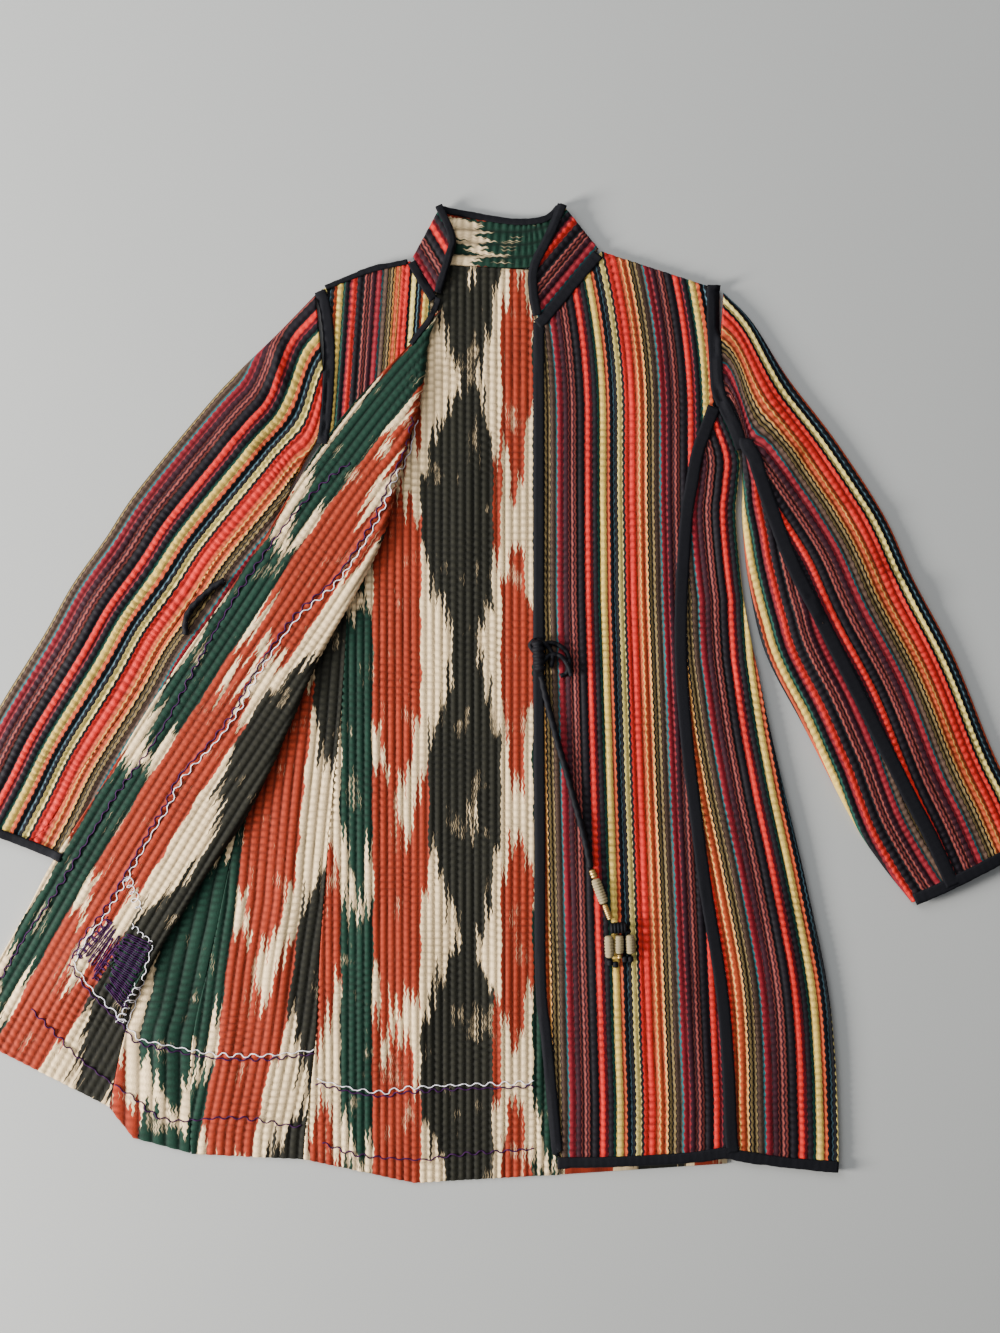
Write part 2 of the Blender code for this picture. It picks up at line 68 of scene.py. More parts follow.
# How finely the cloth is modelled, where it shows and where it is hidden
CELL_ACROSS = 1.35
CELL_ALONG = 1.75
PLAIN_ACROSS = 12.0
PLAIN_ALONG = 20.0
CURVE_STEPS = 24
ROLL_STEPS = 12
MEASURE_STEP = 4.0
SLEEVE_TURNS = 8
SLEEVE_EASE = 5.0
SLEEVE_BENEATH = 40.0
BACK_MIDDLE = 516

# Steps along the laid pieces, and what they are made of
TAPE_STEP = 2.4
TAPE_THICK = 0.9
TAPE_PUCKER = 0.18
STITCH_STEP = 1.3
SCRIBBLE_STEP = 2.2
LOOP_POINTS = 16
CORD_STEP = 1.6
KNOT_STEP = 1.5
BEAD_SIDES = 18
RINGS_A_TURN = 6
FEWEST_RINGS = 14
DROP_FROM = 0.2

# Colours in linear light
RED = (0.58, 0.018, 0.013)
CRIMSON = (0.20, 0.009, 0.016)
MAROON = (0.026, 0.0035, 0.008)
CHARCOAL = (0.006, 0.0035, 0.006)
ROSE = (0.21, 0.042, 0.032)
BROWN = (0.075, 0.042, 0.028)
OCHRE = (0.17, 0.112, 0.040)
TEAL = (0.010, 0.095, 0.105)
GREEN = (0.006, 0.056, 0.038)
YELLOW = (0.66, 0.44, 0.095)
PALE_YELLOW = (0.74, 0.57, 0.17)
ORANGE = (0.42, 0.058, 0.016)
AMBER = (0.72, 0.33, 0.08)
BLACK = (0.0022, 0.0022, 0.0038)
BLUE_GREY = (0.065, 0.13, 0.16)
CREAM = (0.84, 0.61, 0.34)
RUST = (0.29, 0.029, 0.010)
FOREST = (0.006, 0.027, 0.016)
OLIVE = (0.014, 0.013, 0.008)
PURPLE = (0.030, 0.003, 0.040)
GOLD = (0.72, 0.48, 0.16)
OLD_GOLD = (0.30, 0.17, 0.05)
KHAKI = (0.25, 0.195, 0.105)
THREAD_WHITE = (0.82, 0.78, 0.82)
SKY = (0.88, 0.92, 0.97)
SKY_STRENGTH = 0.42

# The camera looks straight down; the lamps light the robe from the photo's left
PICTURE_HEIGHT = 1.333
CAMERA_OVER = (0.010, 0.0265)
LAMP_TARGET = Vector((0, -0.05, 0))
Lamp = namedtuple("Lamp", "name place size power colour")
LAMPS = (
    Lamp("key", (-2.4, -0.55, 0.9), 0.8, 250.0, (1.0, 0.985, 0.955)),
    Lamp("fill", (-1.4, 1.7, 2.0), 2.0, 95.0, (0.95, 0.975, 1.0)),
)

Stripe = namedtuple("Stripe", "width colour")
STRIPES = tuple(Stripe(*row) for row in (
    (1.6, TEAL), (6.4, CRIMSON), (5.0, MAROON), (1.6, ROSE),
    (1.6, MAROON), (1.8, ROSE), (1.6, MAROON), (1.6, ROSE),
    (9.2, CHARCOAL), (5.8, RED), (3.0, CRIMSON), (5.0, CHARCOAL),
    (2.6, GREEN), (6.8, YELLOW), (3.8, ORANGE), (3.8, BLACK),
    (1.3, BLUE_GREY), (3.3, BLACK), (5.0, PALE_YELLOW), (2.6, BLACK),
    (11.4, RED), (3.4, ORANGE), (1.5, AMBER), (5.6, ORANGE),
    (1.8, AMBER), (1.6, BLACK), (2.0, OCHRE), (1.4, BLACK),
    (2.0, OCHRE), (1.2, BLACK), (5.2, BROWN),
))

# The ikat's repeat: one line for each quilting channel, as counts of steps of one dye along it
IKAT_DYES = {"G": FOREST, "R": RUST, "C": CREAM, "O": OLIVE}
IKAT_CHANNEL = 8.0
IKAT_STEP = 14.0
IKAT_CHART = (
    "G13 C5 G15 C4 G3", "G16 C2 G17 C2 G3", "G17 C1 G18 C1 G3", "G14 C4 G16 C3 G3",
    "R4 C3 R16 C3 R14", "R7 C1 R19 C2 R11", "R24 C2 R14", "R9 C3 R14 C2 R12",
    "R8 C5 R12 C3 R12", "R5 C5 R15 C6 R9", "C8 R9 C10 O6 C7", "C5 O9 C11 O10 C5",
    "C3 O13 C7 O13 C4", "C1 O17 C4 O16 C2", "O19 C2 O19", "O25 O15",
    "O11 C1 O27", "C1 O19 C2 O17 C1", "C3 O15 C6 O13 C3", "C6 O8 C11 R7 C8",
    "R5 C10 R11 C8 R6", "R8 C5 R15 C4 R8", "R9 C4 R13 C6 R8", "R4 C11 R8 C13 R4",
)

# Seams shared by two pieces, from the collar to the hem
FRONT_PRINCESS = (
    (713, 412), (696.5, 454), (690.5, 487), (685.5, 520), (680.5, 600), (680.5, 667),
    (685.5, 734), (694.5, 810), (704.5, 887), (720, 983), (727, 1060), (730, 1130),
)
LEFT_SIDE_SEAM = (
    (724, 414), (738, 456), (737, 487), (735, 520), (743, 600), (756, 667),
    (770, 734), (788, 810), (806, 887), (826, 983), (834, 1060), (837, 1130),
)
BACK_PRINCESS = (
    (331, 425), (338, 460), (344, 520), (347, 610), (341, 715),
    (329, 837), (321, 944), (316, 1040), (306, 1130), (304, 1158),
)
RIGHT_SIDE_SEAM = (
    (324, 440), (303, 480), (298, 520), (287, 610), (264, 715),
    (236, 837), (214, 944), (193, 1040), (191, 1130), (192, 1153),
)

CENTRE_ROWS = (
    ((601, 253), (712, 289)), ((585, 272), (712, 301)), ((567, 294), (712, 317)),
    ((549, 316), (713, 337)), ((538, 331), (714, 361)), ((538, 372), (715, 392)),
) + tuple(
    ((across, down), (seam, down))
    for across, (seam, down) in zip((538,) * 8 + (539, 541, 548, 556), FRONT_PRINCESS)
) + (((560, 1163), (732, 1155)),)
SIDE_ROWS = (((715, 409), (722, 414)),) + tuple(
    zip(FRONT_PRINCESS[1:], LEFT_SIDE_SEAM[1:])
) + (((732.5, 1156), (837, 1168)),)
BACK_ROWS = (
    ((322, 292), (414, 264), (529, 271), (560, 270)),
    ((328, 340), (414, 330), (532, 330), (560, 330)),
    ((331, 390), (414, 390), (536, 390), (560, 390)),
) + tuple(
    ((left, down), (414, down), (536, down), (560, down)) for left, down in BACK_PRINCESS[:-2]
) + (
    ((306, 1130), (414, 1148), (536, 1145), (560, 1145)),
    ((304, 1158), (414, 1182), (536, 1175), (560, 1174)),
)
HIDDEN_SIDE_SEAM = (
    (708, 440), (726, 480), (731, 520), (739, 610), (760, 715),
    (788, 837), (812, 944), (828, 1040), (833, 1130), (833, 1153),
)
BACK_HIDDEN_ROWS = (
    ((560.5, 270), (711, 289)), ((560.5, 600), (685, 610)), ((560.5, 837), (703, 837)),
    ((560.5, 1040), (716, 1040)), ((560.5, 1145), (726, 1130)), ((560.5, 1174), (727, 1163)),
)
SHOULDER_ROWS = (
    ((322, 291), (372, 269), (411, 263)), ((325, 306), (374, 291), (421, 282)),
    ((328, 330), (380, 316), (430, 304)), ((331, 355), (379, 350), (424, 346)),
    ((331, 385), (376, 385), (421, 385)), ((330, 420), (370, 420), (413.5, 420)),
    ((325, 447), (363, 449), (405, 450)), ((304, 478), (348, 479), (397.5, 480)),
    ((299, 520), (342, 520), (386, 520)), ((291, 600), (317, 600), (350, 600)),
    ((276, 665), (293, 665), (315, 665)), ((262, 720), (274, 720), (291.5, 720)),
    ((250, 775), (255, 775), (266.5, 775)),
)
RIGHT_SIDE_ROWS = (
    ((212, 826), (225, 826), (237.8, 826)), ((200, 852), (216, 852), (232.2, 852)),
    ((186, 885), (206, 885), (225.5, 885)), ((168, 920), (193, 922), (218.3, 924)),
    ((150, 944), (182, 944), (213.5, 944)), ((134, 983), (170, 983), (205.5, 981)),
    ((131.5, 1010), (165, 1010), (199.5, 1010)), ((126.5, 1030), (159, 1034), (192.5, 1040)),
    ((119.5, 1060), (155, 1068), (191.7, 1078)), ((110.3, 1107), (134, 1137), (190.7, 1152)),
)

Fold = namedtuple("Fold", "free fold free_base fold_base sweep")
FLAP_ROWS = tuple(Fold(*row) for row in (
    ((434, 318), (441, 312), 7.2, 8.0, 30), ((420, 334), (432, 331), 7.2, 8.2, 45),
    ((406, 351), (427, 351), 7.2, 9.0, 80), ((376, 381), (424, 381), 7.2, 11.6, 125),
    ((344, 417), (416, 417), 7.2, 12.4, 135), ((313, 460), (403, 460), 7.2, 12.4, 135),
    ((283, 510), (391, 510), 7.2, 12.4, 135), ((260, 547), (380, 547), 7.2, 12.4, 135),
    ((220, 607), (348, 607), 7.2, 12.4, 135), ((177, 668), (315, 668), 7.2, 12.4, 135),
    ((143, 720), (293, 720), 7.2, 12.4, 135), ((110, 776), (268, 776), 7.2, 12.2, 135),
    ((80, 822), (243, 822), 7.2, 10.8, 135), ((53, 864), (214, 864), 7.2, 9.6, 135),
    ((31, 905), (188, 905), 3.4, 9.0, 135), ((8, 945), (163, 945), 0.0, 8.8, 135),
    ((-14, 984), (143, 984), 0.0, 7.4, 110), ((-29, 1010), (130, 1010), 0.0, 4.6, 60),
    ((-33, 1017), (125.3, 1030), 0.0, 0.2, 8), ((-37, 1023), (118.5, 1060), 0.0, 0.2, 8),
    ((-40, 1030), (109.5, 1106), 0.0, 0.2, 8),
))

Sleeve = namedtuple("Sleeve", "outer crown seam inner")
LEFT_SLEEVE = tuple(Sleeve(*row) for row in (
    ((723, 293), (717.5, 378), (736, 434), (741, 452)),
    ((752, 323), (738, 393), (745, 446), (741.5, 470)),
    ((787, 378), (769, 420), (753, 460), (742, 490)),
    ((835, 441), (799, 466), (763, 491), (742, 522)),
    ((883, 515), (836, 539), (790, 563), (748, 581)),
    ((913, 580), (868, 603), (822, 626), (765, 653)),
    ((953, 656), (906, 679), (860, 702), (804, 728)),
    ((990, 747), (948, 770), (905, 792), (851, 819)),
    ((1013, 795), (970, 815), (928, 836), (880, 863)),
    ((1034, 843), (992, 864), (950, 884), (911, 902)),
))
RIGHT_SLEEVE = tuple(Sleeve(*row) for row in (
    ((316, 295), (324, 375), (320, 437), (301, 470)),
    ((277, 335), (293, 400), (305, 460), (292, 486)),
    ((236, 375), (266, 425), (293, 480), (284, 504)),
    ((204, 410), (240, 455), (283, 502), (276, 526)),
    ((137, 492), (180, 523), (222, 553), (259, 579)),
    ((105, 540), (148, 571), (192, 602), (235, 633)),
    ((73, 585), (118, 617), (162, 648), (207, 680)),
    ((44, 636), (89, 668), (133, 699), (178, 731)),
    ((0, 707), (42, 737), (85, 767), (127, 797)),
    ((-28, 762), (12, 791), (53, 820), (93, 848)),
    ((-54, 812), (-13, 828), (28, 845), (68, 860)),
))

COLLAR_BACK_ROWS = (
    ((415, 261), (443, 209)), ((434, 265), (457, 212)), ((455, 266), (472, 215)),
    ((492, 268), (500, 219)), ((528, 268), (530, 221)), ((565, 260), (546, 218)),
    ((597, 252), (558, 208)),
)
COLLAR_RIGHT_ROWS = (
    ((413, 259), (441, 208, 3)), ((419, 269), (453, 239, 5)),
    ((427, 281), (448, 262, 4)), ((434, 294), (440, 288, 1)),
)
COLLAR_LEFT_ROWS = (
    ((598, 250), (563, 208, 3)), ((585, 266), (556, 224, 5)), ((570, 284), (545, 246, 6)),
    ((556, 301), (533, 269, 5)), ((546, 312), (532, 294, 3)), ((540, 321), (536, 315, 1)),
)

TIE_ROUTE = (
    (541, 676), (545, 695), (552, 722), (558, 745), (565, 768), (571, 790), (578, 815),
    (585, 842), (590, 866),
)
LOOP_ROUTE = (
    (226, 581), (220, 584), (213, 589), (205, 596), (198, 603), (192, 610), (188.5, 617),
    (187, 624), (187.5, 631), (187, 635),
)
CORD_RADIUS = 3.1
KNOT_LOOPS = (
    (((540, 648), (548, 643), (558, 645), (566, 652), (569, 663), (566, 673), (560, 676)), 2.6),
    (((542, 662), (550, 655), (560, 656), (567, 665), (571, 676)), 5.5),
    (((534, 652), (530, 645), (536, 640), (546, 645), (552, 655), (551, 667)), 5.0),
)

# Soft troughs and ridges, one by one: from, to, half width, height
Crease = namedtuple("Crease", "start end width height")
CREASE_ROWS = {
    "front_left_center": (
        ((560, 380), (600, 900), 22, 1.6), ((640, 300), (650, 620), 18, 1.3),
        ((590, 760), (610, 1160), 26, 2.0), ((668, 820), (700, 1150), 20, 1.8),
    ),
    "front_left_side": (
        ((715, 440), (722, 620), 10, 1.4), ((760, 760), (806, 1150), 18, 2.2),
        ((728, 800), (760, 1140), 14, 1.4),
    ),
    "back_center": (
        ((372, 640), (362, 1150), 14, 1.6), ((470, 330), (455, 700), 20, 1.2),
        ((415, 900), (420, 1170), 18, 2.2), ((500, 820), (505, 1160), 20, 1.6),
    ),
    "back_side_right": (
        ((300, 720), (262, 1140), 16, 2.4), ((236, 930), (222, 1140), 12, 1.6),
    ),
    "front_right_side": (((165, 960), (160, 1130), 14, 2.0),),
    "front_right_center": (
        ((330, 520), (120, 880), 20, 1.6), ((120, 880), (30, 1060), 24, 2.4),
        ((250, 640), (80, 1010), 14, -1.0), ((150, 900), (60, 1060), 16, 2.0),
    ),
    "sleeve_left_upper": (
        ((742, 360), (800, 470), 16, 2.4), ((850, 560), (930, 600), 10, 2.6),
        ((748, 440), (800, 458), 8, 3.2), ((800, 500), (880, 520), 9, 2.4),
        ((820, 520), (935, 740), 18, 1.8), ((905, 700), (985, 820), 14, 1.6),
    ),
    "sleeve_left_lower": (
        ((772, 560), (850, 740), 14, 1.8), ((790, 600), (840, 630), 8, 2.4),
    ),
    "sleeve_right_upper": (
        ((300, 340), (230, 440), 16, 2.2), ((120, 560), (60, 690), 16, 2.0),
        ((280, 340), (277, 392), 8, 4.2), ((215, 440), (262, 452), 9, 2.6),
        ((170, 500), (90, 570), 10, 1.4), ((30, 720), (-20, 800), 14, 1.6),
    ),
}
CREASES = {name: [Crease(*row) for row in rows] for name, rows in CREASE_ROWS.items()}

Tape = namedtuple("Tape", "name node width spots")
TAPES = tuple(Tape(*row) for row in (
    ("front_edge", "binding_left", 11, (
        (538.5, 324), (538.5, 440), (538.5, 560), (538.5, 700), (539.5, 840), (540.5, 980),
        (546.5, 1040), (556, 1140), (558, 1150))),
    ("front_hem", None, 11.5, (
        (557, 1161), (590, 1160.5), (622, 1159.5), (683, 1156.5), (724, 1151), (740, 1154),
        (785, 1161), (837, 1165))),
    ("neck_left", "tape_neck_left", 11, (
        (598, 256), (583, 273), (568, 291), (553, 309), (543, 321), (537, 326))),
    ("neck_right", "tape_neck_right", 8.5, ((412, 264), (419, 277), (425, 287), (434, 301))),
    ("shoulder_right", "tape_shoulder_right", 6, (
        (408, 263), (376, 270), (350, 279), (326, 289))),
    ("fold_start", None, 6, ((438.5, 300), (431, 319), (421, 333), (411, 346))),
    ("armhole_left", "tape_armhole_left", 13, (
        (713, 287), (712.5, 300), (712.5, 325), (714, 354), (716.5, 390), (725, 411),
        (734, 430), (741, 450))),
    ("armhole_right", "tape_armhole_right", 11.5, (
        (321, 293), (326, 310), (329, 335), (330, 357), (329, 385), (327, 415), (323, 445))),
    ("princess_left", "tape_princess_left", 12.5,
        ((713, 408), (705, 430)) + FRONT_PRINCESS[1:] + ((732, 1150),)),
    ("sleeve_strip", "tape_sleeve_left", 14,
        ((745, 440),) + tuple(row.seam for row in LEFT_SLEEVE[1:])),
    ("cuff_left", "binding_cuff_left", 12, ((913, 899), (951, 881), (990, 861), (1031, 840))),
    ("cuff_right", "binding_cuff_right", 9, ((-52, 811), (-13, 826.5), (28, 842.5), (64, 857))),
    ("collar_back_edge", "binding_collar_back", 6.5, (
        (443, 211), (471, 216), (500, 221), (521, 223), (545, 220), (558, 209))),
    ("collar_right_edge", "binding_collar_right", 7.5, (
        (439, 208), (452.5, 240), (448, 262), (438, 294))),
    ("collar_left_edge", "binding_collar_left", 9.5, (
        (562, 207), (549, 238), (534, 269), (533, 294), (537, 317))),
))
TAPE_PROFILE = (
    (-0.5, 0.1), (-0.48, 0.65), (-0.32, 0.95), (-0.16, 1.0), (0.0, 1.0), (0.16, 1.0),
    (0.32, 0.95), (0.48, 0.65), (0.5, 0.1),
)

# Zigzag threads along the lining's turned edges
INNER_STITCHES = (
    (416, 420), (408, 451), (392, 483), (379, 515), (360, 550), (335, 585), (297, 620), (257, 675),
    (240, 707), (218, 738), (184, 777), (170, 806), (155, 830), (138, 859), (107, 910), (89, 933),
    (75, 958),
)
INNER_HEM_STITCHES = (
    (74, 961), (89, 984), (105, 1002), (123, 1022), (138, 1040), (156, 1044), (190, 1051),
    (223, 1055), (268, 1055), (315, 1051),
)
BACK_HEM_STITCHES = ((317, 1080), (355, 1090), (386, 1094), (403, 1090), (459, 1086), (534, 1082))
OUTER_STITCHES = (
    (351, 464), (322, 486), (287, 524), (243, 590), (204, 655), (173, 712),
    (150, 750), (131, 777), (116, 799), (92, 838), (68, 876), (48, 905), (29, 930), (10, 962),
    (-6, 990),
)
OUTER_HEM_STITCHES = (
    (33, 1008), (58, 1035), (76, 1055), (96, 1071), (112, 1082), (136, 1097), (156, 1113),
    (179, 1119), (223, 1116), (254, 1118), (288, 1125), (302, 1126),
)
BACK_LOW_STITCHES = ((323, 1142), (361, 1155), (419, 1159), (449, 1155), (480, 1151), (534, 1147))

# Beads: the first ones stand for solids, the small ones at the tassel's end don't
Bead = namedtuple("Bead", "name start end radius lift slot turns")
BEADS = tuple(Bead(*row) for row in (
    ("tie_cap", (591, 868), (594.2, 876.7), 3.4, 5.0, "gold_metal", 3),
    ("tie_bead", (594.5, 877.5), (603.5, 902), 5.0, 5.0, "wrapped_thread", 9),
    ("tie_tube", (603.7, 902.5), (609.5, 918), 2.8, 5.0, "gold_metal", 8),
    ("tassel_head", (609, 926.5), (626, 925.5), 6.0, 6.0, "tie_cord", 5),
    ("tassel_bead_1", (608, 934), (609, 956), 4.6, 4.6, "wrapped_thread", 7),
    ("tassel_bead_2", (618.5, 933.5), (618.5, 952), 4.6, 4.6, "wrapped_thread", 7),
    ("tassel_bead_3", (629, 933), (630, 952), 4.6, 4.6, "wrapped_thread", 7),
))
SMALL_BEADS = tuple(Bead(*row) for row in (
    ("end_bead_1", (609, 958), (609.5, 964), 3.0, 3.4, "tie_cord", 0),
    ("end_bead_2", (614.5, 960), (615, 966), 3.0, 3.4, "tie_cord", 0),
    ("end_bead_3", (624, 954.5), (624.5, 960.5), 3.0, 3.4, "tie_cord", 0),
    ("end_bead_4", (629.5, 954.5), (630, 960.5), 3.0, 3.4, "tie_cord", 0),
    ("tassel_tip", (618.5, 952.5), (619, 957), 2.4, 4.0, "gold_metal", 2),
))
KNOT = Bead("tie_knot", (537, 640), (539.5, 672), 6.5, 7.6, "tie_cord", 5)


class RobeSizes(bpy.types.PropertyGroup):
    channel: bpy.props.FloatProperty(
        name="Channel", description="Width of a quilting channel", default=0.0078, unit="LENGTH")
    rib: bpy.props.FloatProperty(
        name="Rib", description="Height of a channel above its stitching", default=0.0020,
        unit="LENGTH")
    pucker: bpy.props.FloatProperty(
        name="Pucker", description="Spacing of the puckers along a channel", default=0.0074,
        unit="LENGTH")
    camera_height: bpy.props.FloatProperty(
        name="Camera height", description="Height of the camera above the floor", default=1.6,
        unit="LENGTH")


class RobeColours(bpy.types.PropertyGroup):
    tape: bpy.props.FloatVectorProperty(
        name="Tape", description="Colour of bindings and ties", subtype="COLOR", default=BLACK)
    floor: bpy.props.FloatVectorProperty(
        name="Floor", description="Colour of the floor", subtype="COLOR",
        default=(0.345, 0.345, 0.333))


def arithmetic(operation, reflected=False):
    """A method that adds one Math node, with its operands swapped if it is a reflected form."""
    def method(self, other):
        first, second = (other, self) if reflected else (self, other)
        return self.shader.maths(operation, first, second)
    return method


class Field:
    """A shader value: arithmetic on it adds Math nodes to its material."""

    def __init__(self, shader, socket):
        self.shader = shader
        self.socket = socket

    __add__ = __radd__ = arithmetic("ADD")
    __sub__ = arithmetic("SUBTRACT")
    __rsub__ = arithmetic("SUBTRACT", reflected=True)
    __mul__ = __rmul__ = arithmetic("MULTIPLY")
    __truediv__ = arithmetic("DIVIDE")
    __mod__ = arithmetic("FLOORED_MODULO")


class Shader:
    """A material and its node tree."""

    def __init__(self, name):
        self.material = bpy.data.materials.new(name)
        self.material.use_nodes = True
        self.tree = self.material.node_tree
        self.surface = self.tree.nodes["Principled BSDF"]

    def add(self, kind, settings=None, inputs=None, output=0):
        """A node of that type, with its settings first and then its inputs' values or links."""
        node = self.tree.nodes.new(kind)
        for key, value in (settings or {}).items():
            if key == "stops":
                self.fill_ramp(node.color_ramp, value)
            elif key == "interpolation":
                node.color_ramp.interpolation = value
            else:
                setattr(node, key, value)
        for key, value in (inputs or {}).items():
            self.give(node.inputs[key], value)
        return Field(self, node.outputs[output])

    def give(self, socket, value):
        """Link a field to a socket, or set its value."""
        if isinstance(value, Field):
            self.tree.links.new(value.socket, socket)
        else:
            socket.default_value = value

    def fill_ramp(self, ramp, stops):
        """Set a ramp's stops from places and colours."""
        while len(ramp.elements) < len(stops):
            ramp.elements.new(1.0)
        for element, (position, colour) in zip(ramp.elements, stops):
            element.position = position
            element.color = (*colour, 1.0)

    def maths(self, operation, *values):
        return self.add("ShaderNodeMath", {"operation": operation}, dict(enumerate(values)))

    def ramp(self, factor, stops, interpolation="LINEAR"):
        settings = {"interpolation": interpolation, "stops": stops}
        return self.add("ShaderNodeValToRGB", settings, {"Fac": factor})

    def vector(self, x, y, z=0.0):
        return self.add("ShaderNodeCombineXYZ", None, {0: x, 1: y, 2: z})

    def noise(self, vector, scale=1.0, detail=2.0):
        inputs = {"Vector": vector, "Scale": scale, "Detail": detail}
        return self.add("ShaderNodeTexNoise", None, inputs)

    def ground_noise(self, scale, detail):
        """Noise over the piece's own space."""
        ground = self.add("ShaderNodeTexCoord", None, None, output=3)
        return self.noise(ground, scale, detail)

    def streaks(self, across_scale, along_scale, detail):
        """Noise on the cloth, with its own scale across and along."""
        place = self.vector(self.across * across_scale, self.along * along_scale)
        return self.noise(place, 1.0, detail)

    def mix(self, factor, first, second, blend="MIX"):
        settings = {"data_type": "RGBA", "blend_type": blend}
        inputs = {0: factor, 6: first, 7: second}
        return self.add("ShaderNodeMix", settings, inputs, output=2)

    def shade(self, colour, tone):
        """The colour times a lightness."""
        return self.mix(1.0, colour, self.vector(tone, tone, tone), "MULTIPLY")

    def step(self, value, edge, blur):
        """0 below an edge and 1 above it, over a soft stretch."""
        inputs = {0: value, 1: edge - blur, 2: edge + blur}
        return self.add("ShaderNodeMapRange", {"interpolation_type": "SMOOTHSTEP"}, inputs)

    def read_cloth(self):
        """Read the cloth's own measure, and give its painted shade: a lightness that is darker in
        the stitched grooves and the pucker dips.
        """
        cloth = self.add("ShaderNodeAttribute", {"attribute_name": "cloth"}, None, output=1)
        split = self.tree.nodes.new("ShaderNodeSeparateXYZ")
        self.give(split.inputs[0], cloth)
        self.across, self.along, groove_shade = (Field(self, socket) for socket in split.outputs)
        return groove_shade

    def finish(self, colour, height, bump, roughness, gloss=0.15):
        """Feed the surface its colour and its bump."""
        self.give(self.surface.inputs["Base Color"], colour)
        self.give(self.surface.inputs["Roughness"], roughness)
        self.surface.inputs["Specular IOR Level"].default_value = gloss
        inputs = {"Strength": bump, "Distance": 0.0006, "Height": height}
        self.give(self.surface.inputs["Normal"], self.add("ShaderNodeBump", None, inputs))
        return self.material

    def finish_woven(self, colour, groove_shade, deepest_shade, roughness):
        """Paint shade into the colour towards the stitched grooves, and finish it with fine warp
        and weft.
        """
        # Painted shade: at the bottom of a groove the colour is darkened to the deepest share of
        # itself.
        colour = self.shade(colour, groove_shade * (1.0 - deepest_shade) + deepest_shade)
        warp = self.streaks(2600.0, 260.0, 2.0)
        weft = self.streaks(300.0, 2200.0, 1.0)
        return self.finish(colour, warp * 0.6 + weft * 0.4, 0.35, roughness)


def colour_value(colour):
    return (*colour, 1.0)


def stripe_stops():
    """The stripes as ramp stops, and the length of their repeat."""
    total = sum(stripe.width for stripe in STRIPES)
    stops = []
    start = 0.0
    for stripe in STRIPES:
        stops.append((start / total, stripe.colour))
        start += stripe.width
    return stops, total * MM


def stripe_material():
    """Warp stripes of a bekasam cloth, with slubs of lighter and darker thread."""
    shader = Shader("bekasam_stripes")
    groove_shade = shader.read_cloth()
    stops, repeat = stripe_stops()
    shifted = shader.across + (shader.streaks(60.0, 12.0, 2.0) - 0.5) * 0.0010
    colour = shader.ramp((shifted % repeat) / repeat, stops, "CONSTANT")
    threads = shader.streaks(1500.0, 14.0, 3.0) * 1.5 + 0.25
    picks = shader.streaks(500.0, 1900.0, 2.0) * 0.7 + 0.65
    dye = shader.streaks(12.0, 5.0, 2.0) * 0.5 + 0.75
    for tone in (threads, picks, dye):
        colour = shader.shade(colour, tone)
    # Painted shade in the stitched grooves, down to 0.16 of the colour.
    return shader.finish_woven(colour, groove_shade, 0.16, 0.68)


def dye_stops(chart_line):
    """One line of the ikat's chart as ramp stops, with short soft ends."""
    runs = [(IKAT_DYES[run[0]], int(run[1:])) for run in chart_line.split()]
    total = sum(count for _, count in runs)
    blur = 0.0022
    stops = [(0.0, runs[0][0])]
    end = 0
    for (dye, count), (following, _) in zip(runs, runs[1:]):
        end += count
        stops.append((end / total - blur, dye))
        stops.append((end / total + blur, following))
    return stops, total * IKAT_STEP * MM


def ikat_material():
    """Resist-dyed warp: each channel has its own stretches of dye, whose ends bleed along it."""
    shader = Shader("ikat")
    groove_shade = shader.read_cloth()
    spikes = shader.streaks(330.0, 4.0, 0.0)
    hairs = shader.streaks(1300.0, 9.0, 1.0)
    drift = shader.streaks(60.0, 6.0, 1.0)
    bleed = (spikes - 0.5) * 0.070 + (hairs - 0.5) * 0.030 + (drift - 0.5) * 0.050
    sway = (shader.streaks(25.0, 22.0, 2.0) - 0.5) * 0.010 + (hairs - 0.5) * 0.0024
    place = (shader.across + sway) % (IKAT_CHANNEL * len(IKAT_CHART) * MM)
    stops, length = dye_stops(IKAT_CHART[0])
    position = ((shader.along + bleed) % length) / length
    colour = shader.ramp(position, stops)
    for index, line in enumerate(IKAT_CHART[1:], 1):
        own = shader.ramp(position, dye_stops(line)[0])
        colour = shader.mix(shader.step(place, index * IKAT_CHANNEL * MM, 0.0004), colour, own)
    fade = shader.streaks(42.0, 20.0, 5.0) + (hairs - 0.5) * 0.5
    colour = shader.mix(shader.step(fade, 0.69, 0.04) * 0.6, colour, colour_value(CREAM))
    threads = shader.streaks(1700.0, 18.0, 2.0) * 0.9 + 0.55
    cloud = shader.streaks(14.0, 9.0, 3.0) * 0.55 + 0.72
    for tone in (threads, cloud):
        colour = shader.shade(colour, tone)
    # Painted shade in the stitched grooves, down to 0.24 of the colour.
    return shader.finish_woven(colour, groove_shade, 0.24, 0.78)


def tape_material():
    """Fine black tape, faintly ribbed across."""
    shader = Shader("black_tape")
    shader.read_cloth()
    ribs = shader.streaks(500.0, 2600.0, 2.0)
    colour = colour_value(bpy.context.scene.robe_colours.tape)
    return shader.finish(shader.shade(colour, ribs * 1.6 + 0.3), ribs, 0.5, 0.8)


def thread_material(name, colour):
    """Twisted thread, lighter and darker along its length."""
    shader = Shader(name)
    grain = shader.ground_noise(900.0, 2.0)
    base = shader.shade(colour_value(colour), grain * 0.9 + 0.55)
    return shader.finish(base, grain, 0.4, 0.7)


def metal_material():
    """Worn gilt wire."""
    shader = Shader("gilt")
    wear = shader.ground_noise(500.0, 3.0)
    base = shader.mix(wear, colour_value(GOLD), colour_value(OLD_GOLD))
    shader.surface.inputs["Metallic"].default_value = 0.9
    return shader.finish(base, wear, 0.3, wear * 0.3 + 0.25)


